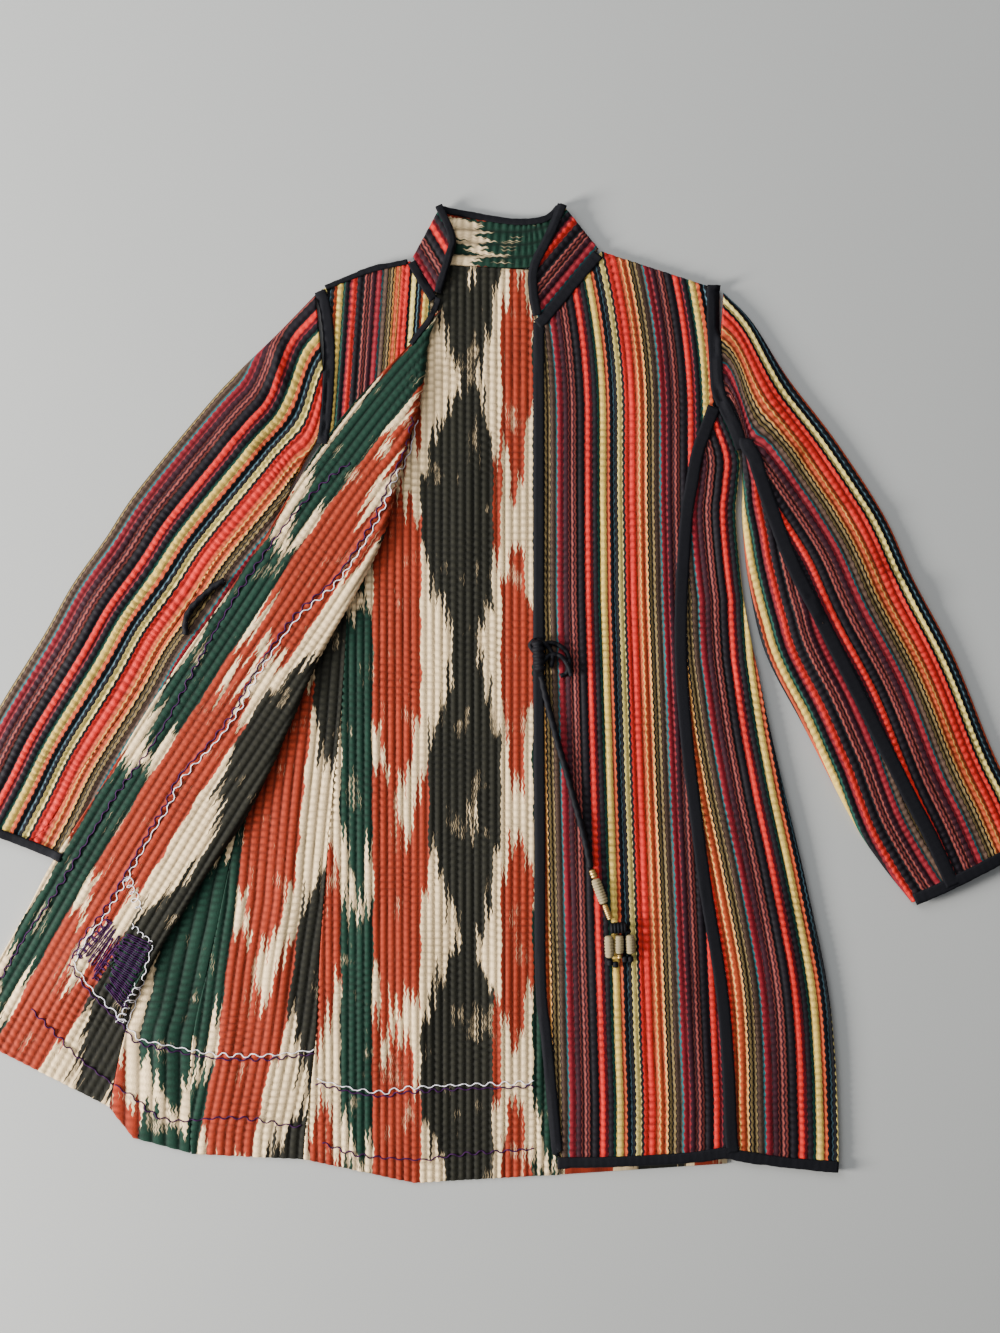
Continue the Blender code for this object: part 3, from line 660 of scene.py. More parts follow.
def floor_material():
    """A plain pale sheet."""
    shader = Shader("pale_floor")
    colour = colour_value(bpy.context.scene.robe_colours.floor)
    base = shader.shade(colour, shader.ground_noise(1.3, 3.0) * 0.12 + 0.94)
    return shader.finish(base, shader.ground_noise(700.0, 2.0), 0.12, 0.85)


MATERIALS = {}


def material(name, make, *values):
    """The named material, made on first use."""
    if name not in MATERIALS:
        MATERIALS[name] = make(*values)
    return MATERIALS[name]


def thread(name, colour):
    """A thread's material."""
    return material(name, thread_material, name, colour)


def cloth_looks():
    """The striped outer cloth and the ikat lining."""
    return material("bekasam_stripes", stripe_material), material("ikat", ikat_material)


def scatter(index, seed):
    """A repeatable number from 0 to 1 for each whole number."""
    value = np.sin(index * 12.9898 + seed * 4.1414) * 43758.5453
    return value - np.floor(value)


def quilting(across, along, seed):
    """The quilted cloth's height, its painted shade (a lightness that is darker in the stitched
    grooves and the pucker dips), and how far its puckers pull it aside.

    The sewing is uneven: the slow waves' lengths are in millimetres.
    """
    sizes = bpy.context.scene.robe_sizes
    channel = across / (sizes.channel / MM)
    index = np.floor(channel)
    arch = np.abs(np.sin(np.pi * channel)) ** 0.8
    drift = 1.5 * (scatter(index, seed) - 0.5)
    drift = drift + 1.3 * np.sin(along / 37.0 + 5.0 * scatter(index, seed + 3))
    drift = drift + 1.8 * np.sin(along / 83.0 + across / 37.0 + seed)
    turn = 2 * np.pi * (along + drift) / (sizes.pucker / MM)
    dip = (0.5 + 0.5 * np.cos(turn)) ** 1.5
    patch = np.sin(along / 57.0 + across / 23.0 + seed) * np.sin(along / 21.0 - across / 61.0)
    single = scatter(index + np.floor(turn / (2 * np.pi)) * 7.0, seed) - 0.5
    strength = 0.62 + 0.26 * patch + 0.2 * single
    rise = arch * (1.0 - strength * dip) * sizes.rib / MM
    # Painted shade: the colour is darkened down into the stitched grooves and into the pucker dips.
    light = np.clip(arch * 1.35, 0, 1) * (1.0 - 0.8 * strength * dip ** 1.6)
    pull = 0.55 * np.sin(turn + 0.6) * (0.6 + 0.4 * arch)
    return rise, light, pull


def lengths(line):
    """The lengths of a line's steps."""
    return np.linalg.norm(np.diff(line, axis=0), axis=1)


def travelled(line):
    """How far along a line each of its points is."""
    return np.concatenate([[0], np.cumsum(lengths(line))])


def unit(vectors):
    """Vectors at a length of 1."""
    size = np.linalg.norm(vectors, axis=-1, keepdims=True)
    return vectors / np.maximum(size, 1e-6)


def smooth(share):
    """An eased share, level at 0 and at 1."""
    return share * share * (3 - 2 * share)


def smoothed(values, kernel):
    """A line of values averaged with their neighbours."""
    return np.convolve(np.pad(values, len(kernel) // 2, mode="edge"), kernel, mode="valid")


def between(first, second, share):
    """Rows of points that run from one line to another."""
    share = share[None, :, None]
    return first[:, None] * (1 - share) + second[:, None] * share


def ridge(points, creases):
    """Height that the listed creases add to an array of points, in millimetres."""
    total = np.zeros(points.shape[:-1])
    for crease in creases:
        start = np.array(crease.start, float)
        run = np.array(crease.end, float) - start
        length = np.hypot(*run)
        run = run / length
        offset = points[..., :2] - start
        along = (offset @ run) / length
        aside = offset[..., 0] * run[1] - offset[..., 1] * run[0]
        ends = np.clip(along, 0, 1) * np.clip(1 - along, 0, 1) * 4
        sway = crease.width * (1 + 0.3 * np.sin(along * 9.0))
        total += crease.height * np.sqrt(ends) * np.exp(-((aside / sway) ** 2))
    return total


def softness(points):
    """Slow rises and dips that cloth keeps when it is laid by hand."""
    across = points[..., 0]
    down = points[..., 1]
    slow = np.sin(across / 47.0 + down / 83.0) + np.sin(down / 39.0 - across / 71.0)
    return 0.35 * (slow + 2.0)


def smooth_rows(rows, step):
    """Rows of places read from smooth curves through each column, evenly spaced down the piece."""
    table = np.array([[tuple(spot) + (0.0,) * (3 - len(spot)) for spot in row] for row in rows])
    before = 2 * table[:1] - table[1:2]
    after = 2 * table[-1:] - table[-2:-1]
    ends = np.concatenate([before, table, after])
    t = np.linspace(0, 1, CURVE_STEPS, endpoint=False)[:, None, None]
    fine = []
    for a, b, c, d in zip(ends, ends[1:], ends[2:], ends[3:]):
        bend = (2 * a - 5 * b + 4 * c - d) * t * t + (3 * b - a - 3 * c + d) * t ** 3
        fine.append(0.5 * (2 * b + (c - a) * t + bend))
    fine = np.concatenate(fine + [table[-1:]])
    run = travelled(fine.mean(axis=1)[:, :2])
    even = np.linspace(0, run[-1], max(int(run[-1] / step), 2) + 1)
    count = fine.shape[1]
    columns = [[np.interp(even, run, fine[:, k, i]) for i in range(3)] for k in range(count)]
    return np.array(columns).transpose(2, 0, 1)


def across_columns(columns, cell):
    """A grid of points from the left column to the right one."""
    spans = []
    last = columns.shape[1] - 2
    for k in range(last + 1):
        width = np.linalg.norm(columns[:, k + 1] - columns[:, k], axis=1).max()
        share = np.linspace(0, 1, max(int(width / cell), 1) + 1)
        if k < last:
            share = share[:-1]
        spans.append(between(columns[:, k], columns[:, k + 1], share))
    return np.concatenate(spans, axis=1)


def edge_measure(points, edge):
    """Distance from an edge and place along it, for rows that start at that edge."""
    run = unit(np.gradient(edge[:, :2], axis=0))
    offset = points[..., :2] - edge[:, None, :2]
    ahead = offset[..., 0] * run[:, None, 0] + offset[..., 1] * run[:, None, 1]
    away = np.abs(offset[..., 0] * run[:, None, 1] - offset[..., 1] * run[:, None, 0])
    return away, travelled(edge[:, :2])[:, None] + ahead


def to_frame(points):
    """Table places as points in metres in the robe's frame."""
    moved = points.copy()
    moved[..., 0] = points[..., 0] - DATUM_ACROSS
    moved[..., 1] = DATUM_DOWN - points[..., 1]
    return moved * MM


def ride(piece, slot, *nodes):
    """Tie a piece to the robe's body, and hide the solids it stands for. The slot is not used."""
    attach(piece, "root")
    if nodes:
        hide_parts(*nodes)


def make_mesh(name, points, faces, look, cloth=None):
    """A smooth mesh object with the cloth's own measure on its points."""
    mesh = bpy.data.meshes.new(name)
    mesh.from_pydata(points.tolist(), [], faces)
    if cloth is None:
        cloth = np.zeros((len(points), 3))
    measure = mesh.attributes.new("cloth", "FLOAT_VECTOR", "POINT")
    measure.data.foreach_set("vector", np.ascontiguousarray(cloth, dtype=np.float32).ravel())
    mesh.materials.append(look)
    mesh.polygons.foreach_set("use_smooth", [True] * len(mesh.polygons))
    mesh.update()
    made = bpy.data.objects.new(name, mesh)
    bpy.context.scene.collection.objects.link(made)
    return made


def grid_faces(rows, columns, start=0, flip=False):
    """Quads between the points of a grid."""
    row = np.arange(rows - 1)[:, None] * columns
    column = np.arange(columns - 1)[None, :]
    first = start + row + column
    quads = np.stack([first, first + columns, first + columns + 1, first + 1], axis=-1)
    if flip:
        quads = quads[..., ::-1]
    return quads.reshape(-1, 4).tolist()


def closed_wall(name, outside, inside, outside_cloth, look, under_look=None):
    """A closed wall of cloth: a fine outside, a plain inside, their edges joined."""
    rows, fine = outside.shape[:2]
    plain = inside.shape[1]
    points = to_frame(np.concatenate([outside.reshape(-1, 3), inside.reshape(-1, 3)]))
    near = between(outside_cloth[:, 0], outside_cloth[:, -1], np.linspace(0, 1, plain))
    cloth = np.concatenate([outside_cloth.reshape(-1, 3), near.reshape(-1, 3)])
    start = rows * fine
    under_faces = grid_faces(rows, plain, start, flip=True)
    faces = grid_faces(rows, fine)
    under_first = len(faces)
    faces += under_faces
    for j in range(rows - 1):
        left = (j * fine, start + j * plain, start + (j + 1) * plain, (j + 1) * fine)
        a = j * fine + fine - 1
        b = start + j * plain + plain - 1
        faces += [left, (a, a + fine, b + plain, b)]
    top = list(range(fine))
    under = list(range(start, start + plain))
    faces.append(top + under[::-1])
    last = (rows - 1) * fine
    foot = start + (rows - 1) * plain
    faces.append(list(range(foot, foot + plain)) + list(range(last, last + fine))[::-1])
    made = make_mesh(name, points, faces, look, cloth)
    if under_look:
        made.data.materials.append(under_look)
        sides = np.zeros(len(faces), dtype=np.int32)
        sides[under_first:under_first + len(under_faces)] = 1
        made.data.polygons.foreach_set("material_index", sides)
    return made


def measure_cloth(across, along, light):
    """The cloth's own measure: across and along in metres, and its painted shade as a lightness."""
    return np.stack([across * MM, along * MM, light], axis=-1)


def settle(piece, slot, nodes, rows):
    """Tie a cloth piece to the robe's body and hide the solids it stands for; the rows it was cut
    from are smoothed, and then not used.
    """
    ride(piece, slot, *nodes)
    table = smooth_rows(rows, MEASURE_STEP)
    return piece


def flat_cloth(name, rows, slot, grain, seed, shown=True, has_node=True):
    """A panel that lies flat, quilted where it shows, with its grain set by a rule."""
    outer = slot == "striped_outer"
    looks = cloth_looks() if outer else cloth_looks()[::-1]
    base = FRONT_LAYER if outer else 0.0
    columns = smooth_rows(rows, CELL_ALONG if shown else PLAIN_ALONG)
    points = across_columns(columns, CELL_ACROSS if shown else PLAIN_ACROSS)
    across, along = grain(points, columns)
    rise, light, pull = quilting(across, along, seed)
    outside = points.copy()
    outside[..., 2] += base + WALL
    if shown:
        outside[..., 2] += rise
        outside[..., 2] += np.maximum(ridge(points, CREASES.get(name, ())), -0.8) + softness(points)
    inside = columns.copy()
    inside[..., 2] += base
    # The third measure is painted shade: darker in the stitched grooves and the pucker dips.
    cloth = measure_cloth(across + pull, along, light)
    piece = closed_wall(name + "_cloth", outside, inside, cloth, *looks)
    return settle(piece, slot, (name,) if has_node else (), rows)


def front_grain(points, columns):
    """The closed front: stripes spread towards the hem and lean in towards the neck."""
    across = points[..., 0]
    down = points[..., 1]
    lean = 18.5 * np.clip((420 - down) / 157, 0, 1.2) ** 2
    first = 555.5 + np.interp(down, (600, 1100), (0, 12)) - lean
    spread = np.interp(down, (300, 500, 600, 1100), (0.93, 0.935, 0.955, 1.032))
    return (across - first) / spread, down


def front_side_grain(points, columns):
    """The closed front's side piece: stripes drift away from the side seam."""
    down = points[..., 1]
    away = columns[:, -1, None, 0] - points[..., 0]
    seam = np.interp(down, (600, 660, 730, 800, 1100), (47.5, 56, 60, 63, 67))
    return seam - away * np.interp(down, (600, 1100), (1.03, 0.91)), down


SHOULDER_PLACES = (320, 325, 354, 378, 387, 396, 404, 414.5, 424, 434)
SHOULDER_STRIPES = (74.0, 68.4, 33.6, 4.6, -6.0, -18.0, -33.0, -43.6, -58.0, -70.0)


def shoulder_grain(points, columns):
    """The right front's shoulder: the same stripes the other way round."""
    down = points[..., 1]
    across = points[..., 0] + 0.07 * (down - 307)
    before = np.clip(SHOULDER_PLACES[0] - across, 0, None)
    return np.interp(across, SHOULDER_PLACES, SHOULDER_STRIPES) + 1.1 * before, down


def collar_grain(neck_start, neck_end, first):
    """Stripes along a collar's end, measured from its neck seam."""
    def rule(points, columns):
        start = np.array(neck_start, float)
        run = np.array(neck_end, float) - start
        run = run / np.hypot(*run)
        offset = points[..., :2] - start
        away = np.abs(offset[..., 0] * run[1] - offset[..., 1] * run[0])
        return away + first, offset @ run
    return rule


def back_grain(points, columns):
    """The back's ikat runs straight down."""
    return points[..., 0] - 341, points[..., 1] - 95


def back_side_grain(points, columns):
    """The back's side piece: its dye runs with the princess seam."""
    down = points[..., 1]
    away = columns[:, -1, None, 0] - points[..., 0]
    return np.interp(down, (900, 1130), (105, 122)) - 0.85 * away, down - 260


def front_right_side_grain(points, columns):
    """The opened side piece: its dye runs with its side seam."""
    away = columns[:, -1, None, 0] - points[..., 0]
    return 30 - 0.58 * away, points[..., 1] - 40


def collar_back_grain(points, columns):
    """The collar's lining: its dye runs along the band."""
    away, along = edge_measure(points, columns[:, 0])
    return 30 - 0.62 * away, along + 190


def eased(edge, reach=45):
    """An edge without its short bends."""
    before = edge[0] - (edge[1:reach + 1] - edge[0])[::-1]
    after = edge[-1] + (edge[-1] - edge[-1 - reach:-1])[::-1]
    long_edge = np.concatenate([before, edge, after])
    kernel = np.ones(2 * reach + 1) / (2 * reach + 1)
    return np.stack([np.convolve(long_edge[:, k], kernel, mode="valid") for k in range(3)], axis=1)


def flap_underside(free, fold, start, share):
    """The flap's underside between its free edge and the start of its roll."""
    base = free[:, 2:3] + (fold[:, 2:3] - free[:, 2:3]) * smooth(share)[None]
    plan = between(free[:, :2], start, share)
    return np.concatenate([plan, np.maximum(base, 0.0)[..., None]], axis=-1)


def roll(start, run, centre, radius, angle):
    """Points round the fold's roll, at their angles from its top."""
    return np.concatenate([
        start[:, None] + run[:, None] * (radius * np.sin(angle))[..., None],
        (centre[:, None] + radius * np.cos(angle))[..., None],
    ], axis=-1)


def build_flap_cloth():
    """The turned-back front with its rolled fold."""
    rows = [
        ((*row.free, row.free_base), (*row.fold, row.fold_base), (row.sweep, 0.0, 0.0))
        for row in FLAP_ROWS
    ]
    table = smooth_rows(rows, CELL_ALONG)
    free = table[:, 0]
    fold = table[:, 1]
    sweep = np.radians(np.clip(table[:, 2, 0], 5, 140))
    run = unit(fold[:, :2] - free[:, :2])
    reach = CURL_RADIUS * np.sin(np.minimum(sweep, np.pi / 2))
    start = fold[:, :2] - run * reach[:, None]
    breadth = np.linalg.norm(start - free[:, :2], axis=1)
    share = np.linspace(0, 1, int(breadth.max() / CELL_ACROSS) + 1)
    flat = flap_underside(free, fold, start, share)
    angle = sweep[:, None] * np.linspace(0, 1, ROLL_STEPS)[1:][None]
    centre = fold[:, 2] + WALL - CURL_RADIUS
    away, along = edge_measure(flat, eased(free))
    slope = away[:, -1:] / np.maximum(breadth[:, None], 1.0)
    curl_away = away[:, -1:] + CURL_RADIUS * angle * slope
    all_away = np.concatenate([away, curl_away], axis=1) * 0.92 - 2
    curl_along = np.repeat(along[:, -1:], angle.shape[1], axis=1)
    all_along = np.concatenate([along, curl_along], axis=1) - 21
    rise, groove_shade, pull = quilting(all_away, all_along, 5)
    count = flat.shape[1]
    lift = ridge(flat, CREASES["front_right_center"]) * np.sqrt(np.clip(1 - share, 0, 1))[None]
    top = flat.copy()
    top[..., 2] += WALL + rise[:, :count] + np.maximum(lift, -1.0)
    curl = roll(start, run, centre, CURL_RADIUS + rise[:, count:], angle)
    outside = np.concatenate([top, curl], axis=1)
    under = flap_underside(free, fold, start, np.linspace(0, 1, 5))
    inner = roll(start, run, centre, CURL_RADIUS - WALL, angle[:, [2, 5, 8, 10]])
    inner[..., 2] = np.maximum(inner[..., 2], 0.0)
    inside = np.concatenate([under, inner], axis=1)
    # The third measure is painted shade: darker in the stitched grooves and the pucker dips.
    cloth = measure_cloth(all_away + pull, all_along, groove_shade)
    piece = closed_wall("flap_cloth", outside, inside, cloth, *cloth_looks()[::-1])
    plan = [(row.free, row.fold) for row in FLAP_ROWS]
    return settle(piece, "ikat_lining", ("front_right_center",), plan)


def sleeve_stripes(name, points, outer, inner):
    """Where a sleeve's points fall in the stripes, and how far along it they are."""
    if name == "sleeve_left_lower":
        away, along = edge_measure(points, inner)
        # Along part of the inner edge the stripes' offset is chosen so that a black stripe lies at
        # the edge and hides the blue-grey one: painted shade, put in by the stripes' placement.
        places = (0, 85, 175, 272, 345, 405, 494)
        return np.interp(along, places, (42, 54, 60, 58, 54, 46, 36)) - away, along
    away, along = edge_measure(points, outer)
    if name == "sleeve_left_upper":
        return 55 + np.interp(along, (0, 120), (7, 0)) + away, along
    cap = smooth(np.clip((along - 36) / 84, 0, 1))
    return 101.5 + 28 * (1 - cap) + 0.94 * away, along


def sleeve_half(name, table, puff, puff_span, seed):
    """One piece of a sleeve: quilted over the top, round its edge and plain beneath."""
    upper = name.endswith("upper")
    columns = smooth_rows([tuple(row) for row in table], CELL_ALONG)
    outer, crown, seam, inner = (columns[:, k] for k in range(4))
    middle = (outer + inner) / 2
    edge, turn = (outer, crown) if upper else (inner, (seam + inner) / 2)
    radius = SLEEVE_HEIGHT / 2
    run = unit(turn - edge)
    start = edge + run * radius
    top = across_columns(np.stack([start, turn, seam], axis=1), CELL_ACROSS)
    away, _ = edge_measure(top, edge)
    across, along = sleeve_stripes(name, top, outer, inner)
    rise, groove_shade, pull = quilting(across, along, seed)
    full = np.linalg.norm(outer - inner, axis=1)[:, None]
    reach = np.linalg.norm(top[..., :2] - edge[:, None, :2], axis=-1) / full
    if not upper:
        reach = 1.0 - reach
    filled = np.sin(np.pi * np.clip(reach / puff_span, 0, 1)) ** 0.8
    near_edge = np.clip(away / SLEEVE_EASE, 0, 1)
    creases = ridge(top, CREASES.get(name, ())) * near_edge
    lift = puff * filled + creases + softness(top) * near_edge
    top[..., 2] = SLEEVE_HEIGHT + rise * np.sqrt(near_edge) + np.maximum(lift, 0.0)
    turns = np.radians(np.linspace(0, 180, SLEEVE_TURNS + 1))[1:]
    arc = np.empty((len(edge), len(turns), 3))
    arc[..., :2] = start[:, None, :2] - run[:, None, :2] * (radius * np.sin(turns))[None, :, None]
    arc[..., 2] = radius + radius * np.cos(turns)[None]
    outside = np.concatenate([top[:, ::-1], arc, middle[:, None]], axis=1)
    inside = np.stack([seam, turn, start, start, middle], axis=1)
    inside[..., 2] = [SLEEVE_HEIGHT - WALL] * 3 + [WALL] * 2
    slope = np.sign(across[:, -1:] - across[:, :1])
    beneath = np.concatenate([radius * turns, [radius * math.pi + SLEEVE_BENEATH]])[None]
    count = arc.shape[1] + 1
    cloth = measure_cloth(
        np.concatenate([(across + pull)[:, ::-1], across[:, :1] - slope * beneath], axis=1),
        np.concatenate([along[:, ::-1], np.repeat(along[:, :1], count, axis=1)], axis=1),
        # Painted shade: the roll round the edge and the cloth beneath get a flat lightness of 0.8,
        # the top keeps the grooves' painted shade.
        np.concatenate([groove_shade[:, ::-1], np.full((len(edge), count), 0.8)], axis=1),
    )
    piece = closed_wall(name + "_cloth", outside, inside, cloth, cloth_looks()[0])
    ride(piece, "striped_outer", name)
    return piece


SHELLS = []


def surface_tree():
    """A tree of all the cloth laid so far, to drop tapes and stitches on."""
    points = []
    faces = []
    for piece in SHELLS:
        start = len(points)
        points += [vertex.co.copy() for vertex in piece.data.vertices]
        faces += [[start + i for i in polygon.vertices] for polygon in piece.data.polygons]
    return BVHTree.FromPolygons(points, faces)


def drop(tree, places):
    """Heights in millimetres of the cloth under an array of places, 0 off it."""
    heights = []
    for across, down in places.reshape(-1, 2):
        above = Vector(((across - DATUM_ACROSS) * MM, (DATUM_DOWN - down) * MM, DROP_FROM))
        hit = tree.ray_cast(above, Vector((0, 0, -1)))[0]
        heights.append(hit.z / MM if hit else 0.0)
    return np.array(heights).reshape(places.shape[:-1])


def on_cloth(tree, places, lift):
    """Points at some height above the cloth."""
    return np.column_stack([places, drop(tree, places) + lift])


def route_points(spots, step):
    """A smooth route through places, evenly spaced, with the way to its side."""
    route = smooth_rows([(spot,) for spot in spots], step)[:, 0, :2]
    run = unit(np.gradient(route, axis=0))
    return route, np.stack([run[:, 1], -run[:, 0]], axis=1)


def laid_tape(tree, tape):
    """A black tape that follows the cloth under it, with soft edges and small puckers."""
    route, side = route_points(tape.spots, TAPE_STEP)
    offsets, profile = np.array(TAPE_PROFILE).T
    rows = len(route)
    count = len(TAPE_PROFILE)
    order = np.arange(rows)
    widths = tape.width + (0.25 * np.sin(order * 1.7) + 0.2 * np.sin(order * 0.63))
    plan = route[:, None] + side[:, None] * (offsets[None] * widths[:, None])[..., None]
    level = drop(tree, plan)
    level = np.maximum.reduce([level, np.roll(level, 1, axis=0), np.roll(level, -1, axis=0)])
    sides = np.pad(level, ((0, 0), (2, 2)), mode="edge")
    level = np.maximum.reduce([sides[:, k:k + count] for k in range(5)])
    level = np.maximum(0.5 * level + 0.5 * np.median(level, axis=1, keepdims=True), level - 0.1)
    kernel = np.array([0.25, 0.5, 0.25])
    level = np.stack([smoothed(column, kernel) for column in level.T], axis=1)
    pucker = TAPE_PUCKER * np.sin(order * 2.1)[:, None]
    height = level + TAPE_RISE + TAPE_THICK * profile + pucker * np.clip(profile, 0, 1)
    points = np.concatenate([plan, height[..., None]], axis=-1)
    under = points[:, [0, -1]].copy()
    under[..., 2] = np.maximum(under[..., 2] - 0.6, 0.05)
    ones = np.ones((rows, count))
    along = order[:, None] * TAPE_STEP * ones
    cloth = measure_cloth(offsets[None] * tape.width * ones, along, ones)
    look = material("black_tape", tape_material)
    piece = closed_wall(tape.name + "_laid", points, under, cloth, look)
    ride(piece, "black_tape", *([tape.node] if tape.node else []))


def ring_faces(rows, sides):
    """Quads between rings of points, with a cap at each end."""
    faces = []
    for j in range(rows - 1):
        for k in range(sides):
            n = (k + 1) % sides
            corners = (j * sides + k, j * sides + n, (j + 1) * sides + n, (j + 1) * sides + k)
            faces.append(corners)
    faces.append(list(range(sides))[::-1])
    faces.append(list(range((rows - 1) * sides, rows * sides)))
    return faces


def tube(centres, radius, sides, twist=0.0):
    """A closed tube along points in millimetres; a twisted one is a little oval."""
    run = unit(np.gradient(centres, axis=0))
    aside = unit(np.cross(run, np.array([0.0, 0.0, 1.0])))
    lift = np.cross(aside, run)
    turns = np.linspace(0, 2 * np.pi, sides, endpoint=False)
    spun = turns[None] + twist * np.arange(len(centres))[:, None]
    swell = radius * (1 + (0.12 * np.cos(2 * spun) if twist else 0 * spun))
    ring = centres[:, None] + aside[:, None] * (swell * np.cos(turns)[None])[..., None]
    ring = ring + lift[:, None] * (swell * np.sin(turns)[None])[..., None]
    return to_frame(ring).reshape(-1, 3), ring_faces(len(centres), sides)


def tubes(name, routes, radius, look, slot, sides=4):
    """One piece of many thread tubes."""
    points = []
    faces = []
    for route in routes:
        own, quads = tube(route, radius, sides)
        start = len(points)
        points += own.tolist()
        faces += [[start + i for i in face] for face in quads]
    ride(make_mesh(name, np.array(points), faces, look), slot)


def stitch_route(tree, spots, wave, reach, shift, lift):
    """A zigzag thread along a line on the cloth, sewn by hand and so uneven."""
    route, side = route_points(spots, STITCH_STEP)
    along = np.arange(len(route)) * STITCH_STEP
    phase = along * 2 * np.pi / wave + 1.3 * np.sin(along / 33.0 + shift)
    uneven = 1 + 0.45 * np.sin(along / 19.0 + 2 * shift)
    bend = np.clip(1.4 * np.sin(phase), -1, 1) * reach * uneven
    stray = 0.9 * np.sin(along / 41.0 + 3 * shift)
    return on_cloth(tree, route + side * (bend + shift + stray)[:, None], lift)


def build_stitches(tree):
    """Dark and white zigzag threads that hold the turned edges of the lining."""
    dark = []
    white = []
    for line in (INNER_STITCHES, INNER_HEM_STITCHES, BACK_HEM_STITCHES):
        dark.append(stitch_route(tree, line, 13.0, 1.1, -2.2, 0.55))
        white.append(stitch_route(tree, line, 14.5, 1.3, 1.9, 0.6))
    for line in (OUTER_STITCHES, OUTER_HEM_STITCHES, BACK_LOW_STITCHES):
        dark.append(stitch_route(tree, line, 14.0, 1.2, 0.0, 0.55))
    tubes("stitches_dark", dark, 0.66, thread("purple_thread", PURPLE), "ikat_lining")
    tubes("stitches_white", white, 0.52, thread("white_thread", THREAD_WHITE), "ikat_lining")


def loops_along(tree, start, end, reach, size, count):
    """A row of open loops of thread between two places."""
    start = np.array(start, float)
    end = np.array(end, float)
    run = (end - start) / np.linalg.norm(end - start)
    side = np.array([run[1], -run[0]])
    share = np.linspace(0, 1, count * LOOP_POINTS)
    turn = share * count * 2 * np.pi
    size = size * (1 + 0.25 * np.sin(turn * 0.37))
    places = start + (end - start) * share[:, None] + run * (size * np.sin(turn))[:, None]
    places = places + side * (reach + size * 1.3 * np.cos(turn))[:, None]
    return on_cloth(tree, places, 0.5 + 0.3 * np.sin(turn))


def scribble(tree, corners, count, seed, lift):
    """Thread sewn back and forth over a four-cornered place, with uneven turns."""
    first, second, third, fourth = (np.array(corner, float) for corner in corners)
    rows = []
    for k in range(count):
        share = k / (count - 1)
        left = first + (fourth - first) * share
        right = second + (third - second) * share
        short = 0.22 * scatter(k, seed)
        late = 0.22 * scatter(k, seed + 2)
        aside = 3.0 * (np.array([scatter(k, seed + 5), scatter(k, seed + 7)]) - 0.5)
        pair = (left + (right - left) * short + aside, right + (left - right) * late - aside)
        rows += pair if k % 2 else pair[::-1]
    return on_cloth(tree, route_points(rows, SCRIBBLE_STEP)[0], lift)


def build_mend(tree):
    """A hand-sewn mend in the corner of the turned-back front, as a plain scribble of thread."""
    block = ((127, 932), (155, 941), (127, 1008), (108, 985))
    crossed = ((112, 962), (140, 934), (152, 962), (124, 1004))
    patch = ((84, 952), (112, 918), (124, 936), (98, 976))
    edge = ((155, 943), (148, 965), (142, 985), (126, 1027))
    purple_routes = [
        scribble(tree, block, 30, 3, 0.75), scribble(tree, patch, 12, 9, 0.5),
        loops_along(tree, (80, 958), (114, 918), 2.0, 2.6, 7),
        loops_along(tree, (96, 978), (124, 940), -1.0, 2.2, 8),
    ]
    green_routes = [scribble(tree, block, 30, 21, 0.15), scribble(tree, crossed, 22, 15, 0.2)]
    white_routes = [
        loops_along(tree, (128, 874), (141, 909), 1.0, 2.8, 5),
        loops_along(tree, (134, 923), (154, 941), 0.0, 1.4, 4),
        loops_along(tree, (119, 1022), (140, 982), -1.0, 2.4, 6),
        stitch_route(tree, edge, 13.0, 0.8, 0.0, 0.6),
    ]
    for name, routes, radius, look in (
        ("mend_purple", purple_routes, 0.6, thread("purple_thread", PURPLE)),
        ("mend_green", green_routes, 0.55, thread("green_thread", FOREST)),
        ("mend_white", white_routes, 0.42, thread("white_thread", THREAD_WHITE)),
    ):
        tubes(name, routes, radius, look, "ikat_lining")


def bead_shape(bead, looks, *nodes, bulge=0.16):
    """A wrapped bead: a turned form with grooves where the thread goes round."""
    count = max(bead.turns * RINGS_A_TURN, FEWEST_RINGS)
    share = np.linspace(0, 1, count)
    body = np.sqrt(np.clip(1 - (2 * share - 1) ** 6, 0, 1)) * 0.5 + 0.5
    if bead.turns:
        body = body * (1 + bulge * np.abs(np.sin(share * np.pi * bead.turns)) - bulge)
    head = np.array([*bead.start, TIE_REST + bead.lift])
    foot = np.array([*bead.end, TIE_REST + bead.lift])
    centres = head + (foot - head) * share[:, None]
    run = (foot - head) / np.linalg.norm(foot - head)
    aside = np.array([run[1], -run[0], 0.0])
    angles = np.linspace(0, 2 * np.pi, BEAD_SIDES, endpoint=False)
    radius = bead.radius * body[:, None]
    ring = centres[:, None] + aside[None, None] * (radius * np.cos(angles))[..., None]
    ring[..., 2] += radius * np.sin(angles)
    points = to_frame(ring).reshape(-1, 3)
    faces = ring_faces(count, BEAD_SIDES)
    piece = make_mesh(bead.name + "_made", points, faces, looks[bead.slot])
    ride(piece, bead.slot, *nodes)
    return piece


def lay_cord(tree, node, spots, look):
    """A tie that follows the cloth from its seam to its end."""
    route, _ = route_points(spots, CORD_STEP)
    heights = smoothed(drop(tree, route), np.ones(9) / 9)
    centres = np.column_stack([route, heights + CORD_RADIUS + 0.4])
    points, faces = tube(centres, CORD_RADIUS, 10, 0.5)
    piece = make_mesh(node + "_cord", points, faces, look)
    ride(piece, "tie_cord", node)
    path = to_frame(centres)


class Piece:
    """What the operators that build the robe share."""

    bl_options = {"REGISTER", "UNDO"}


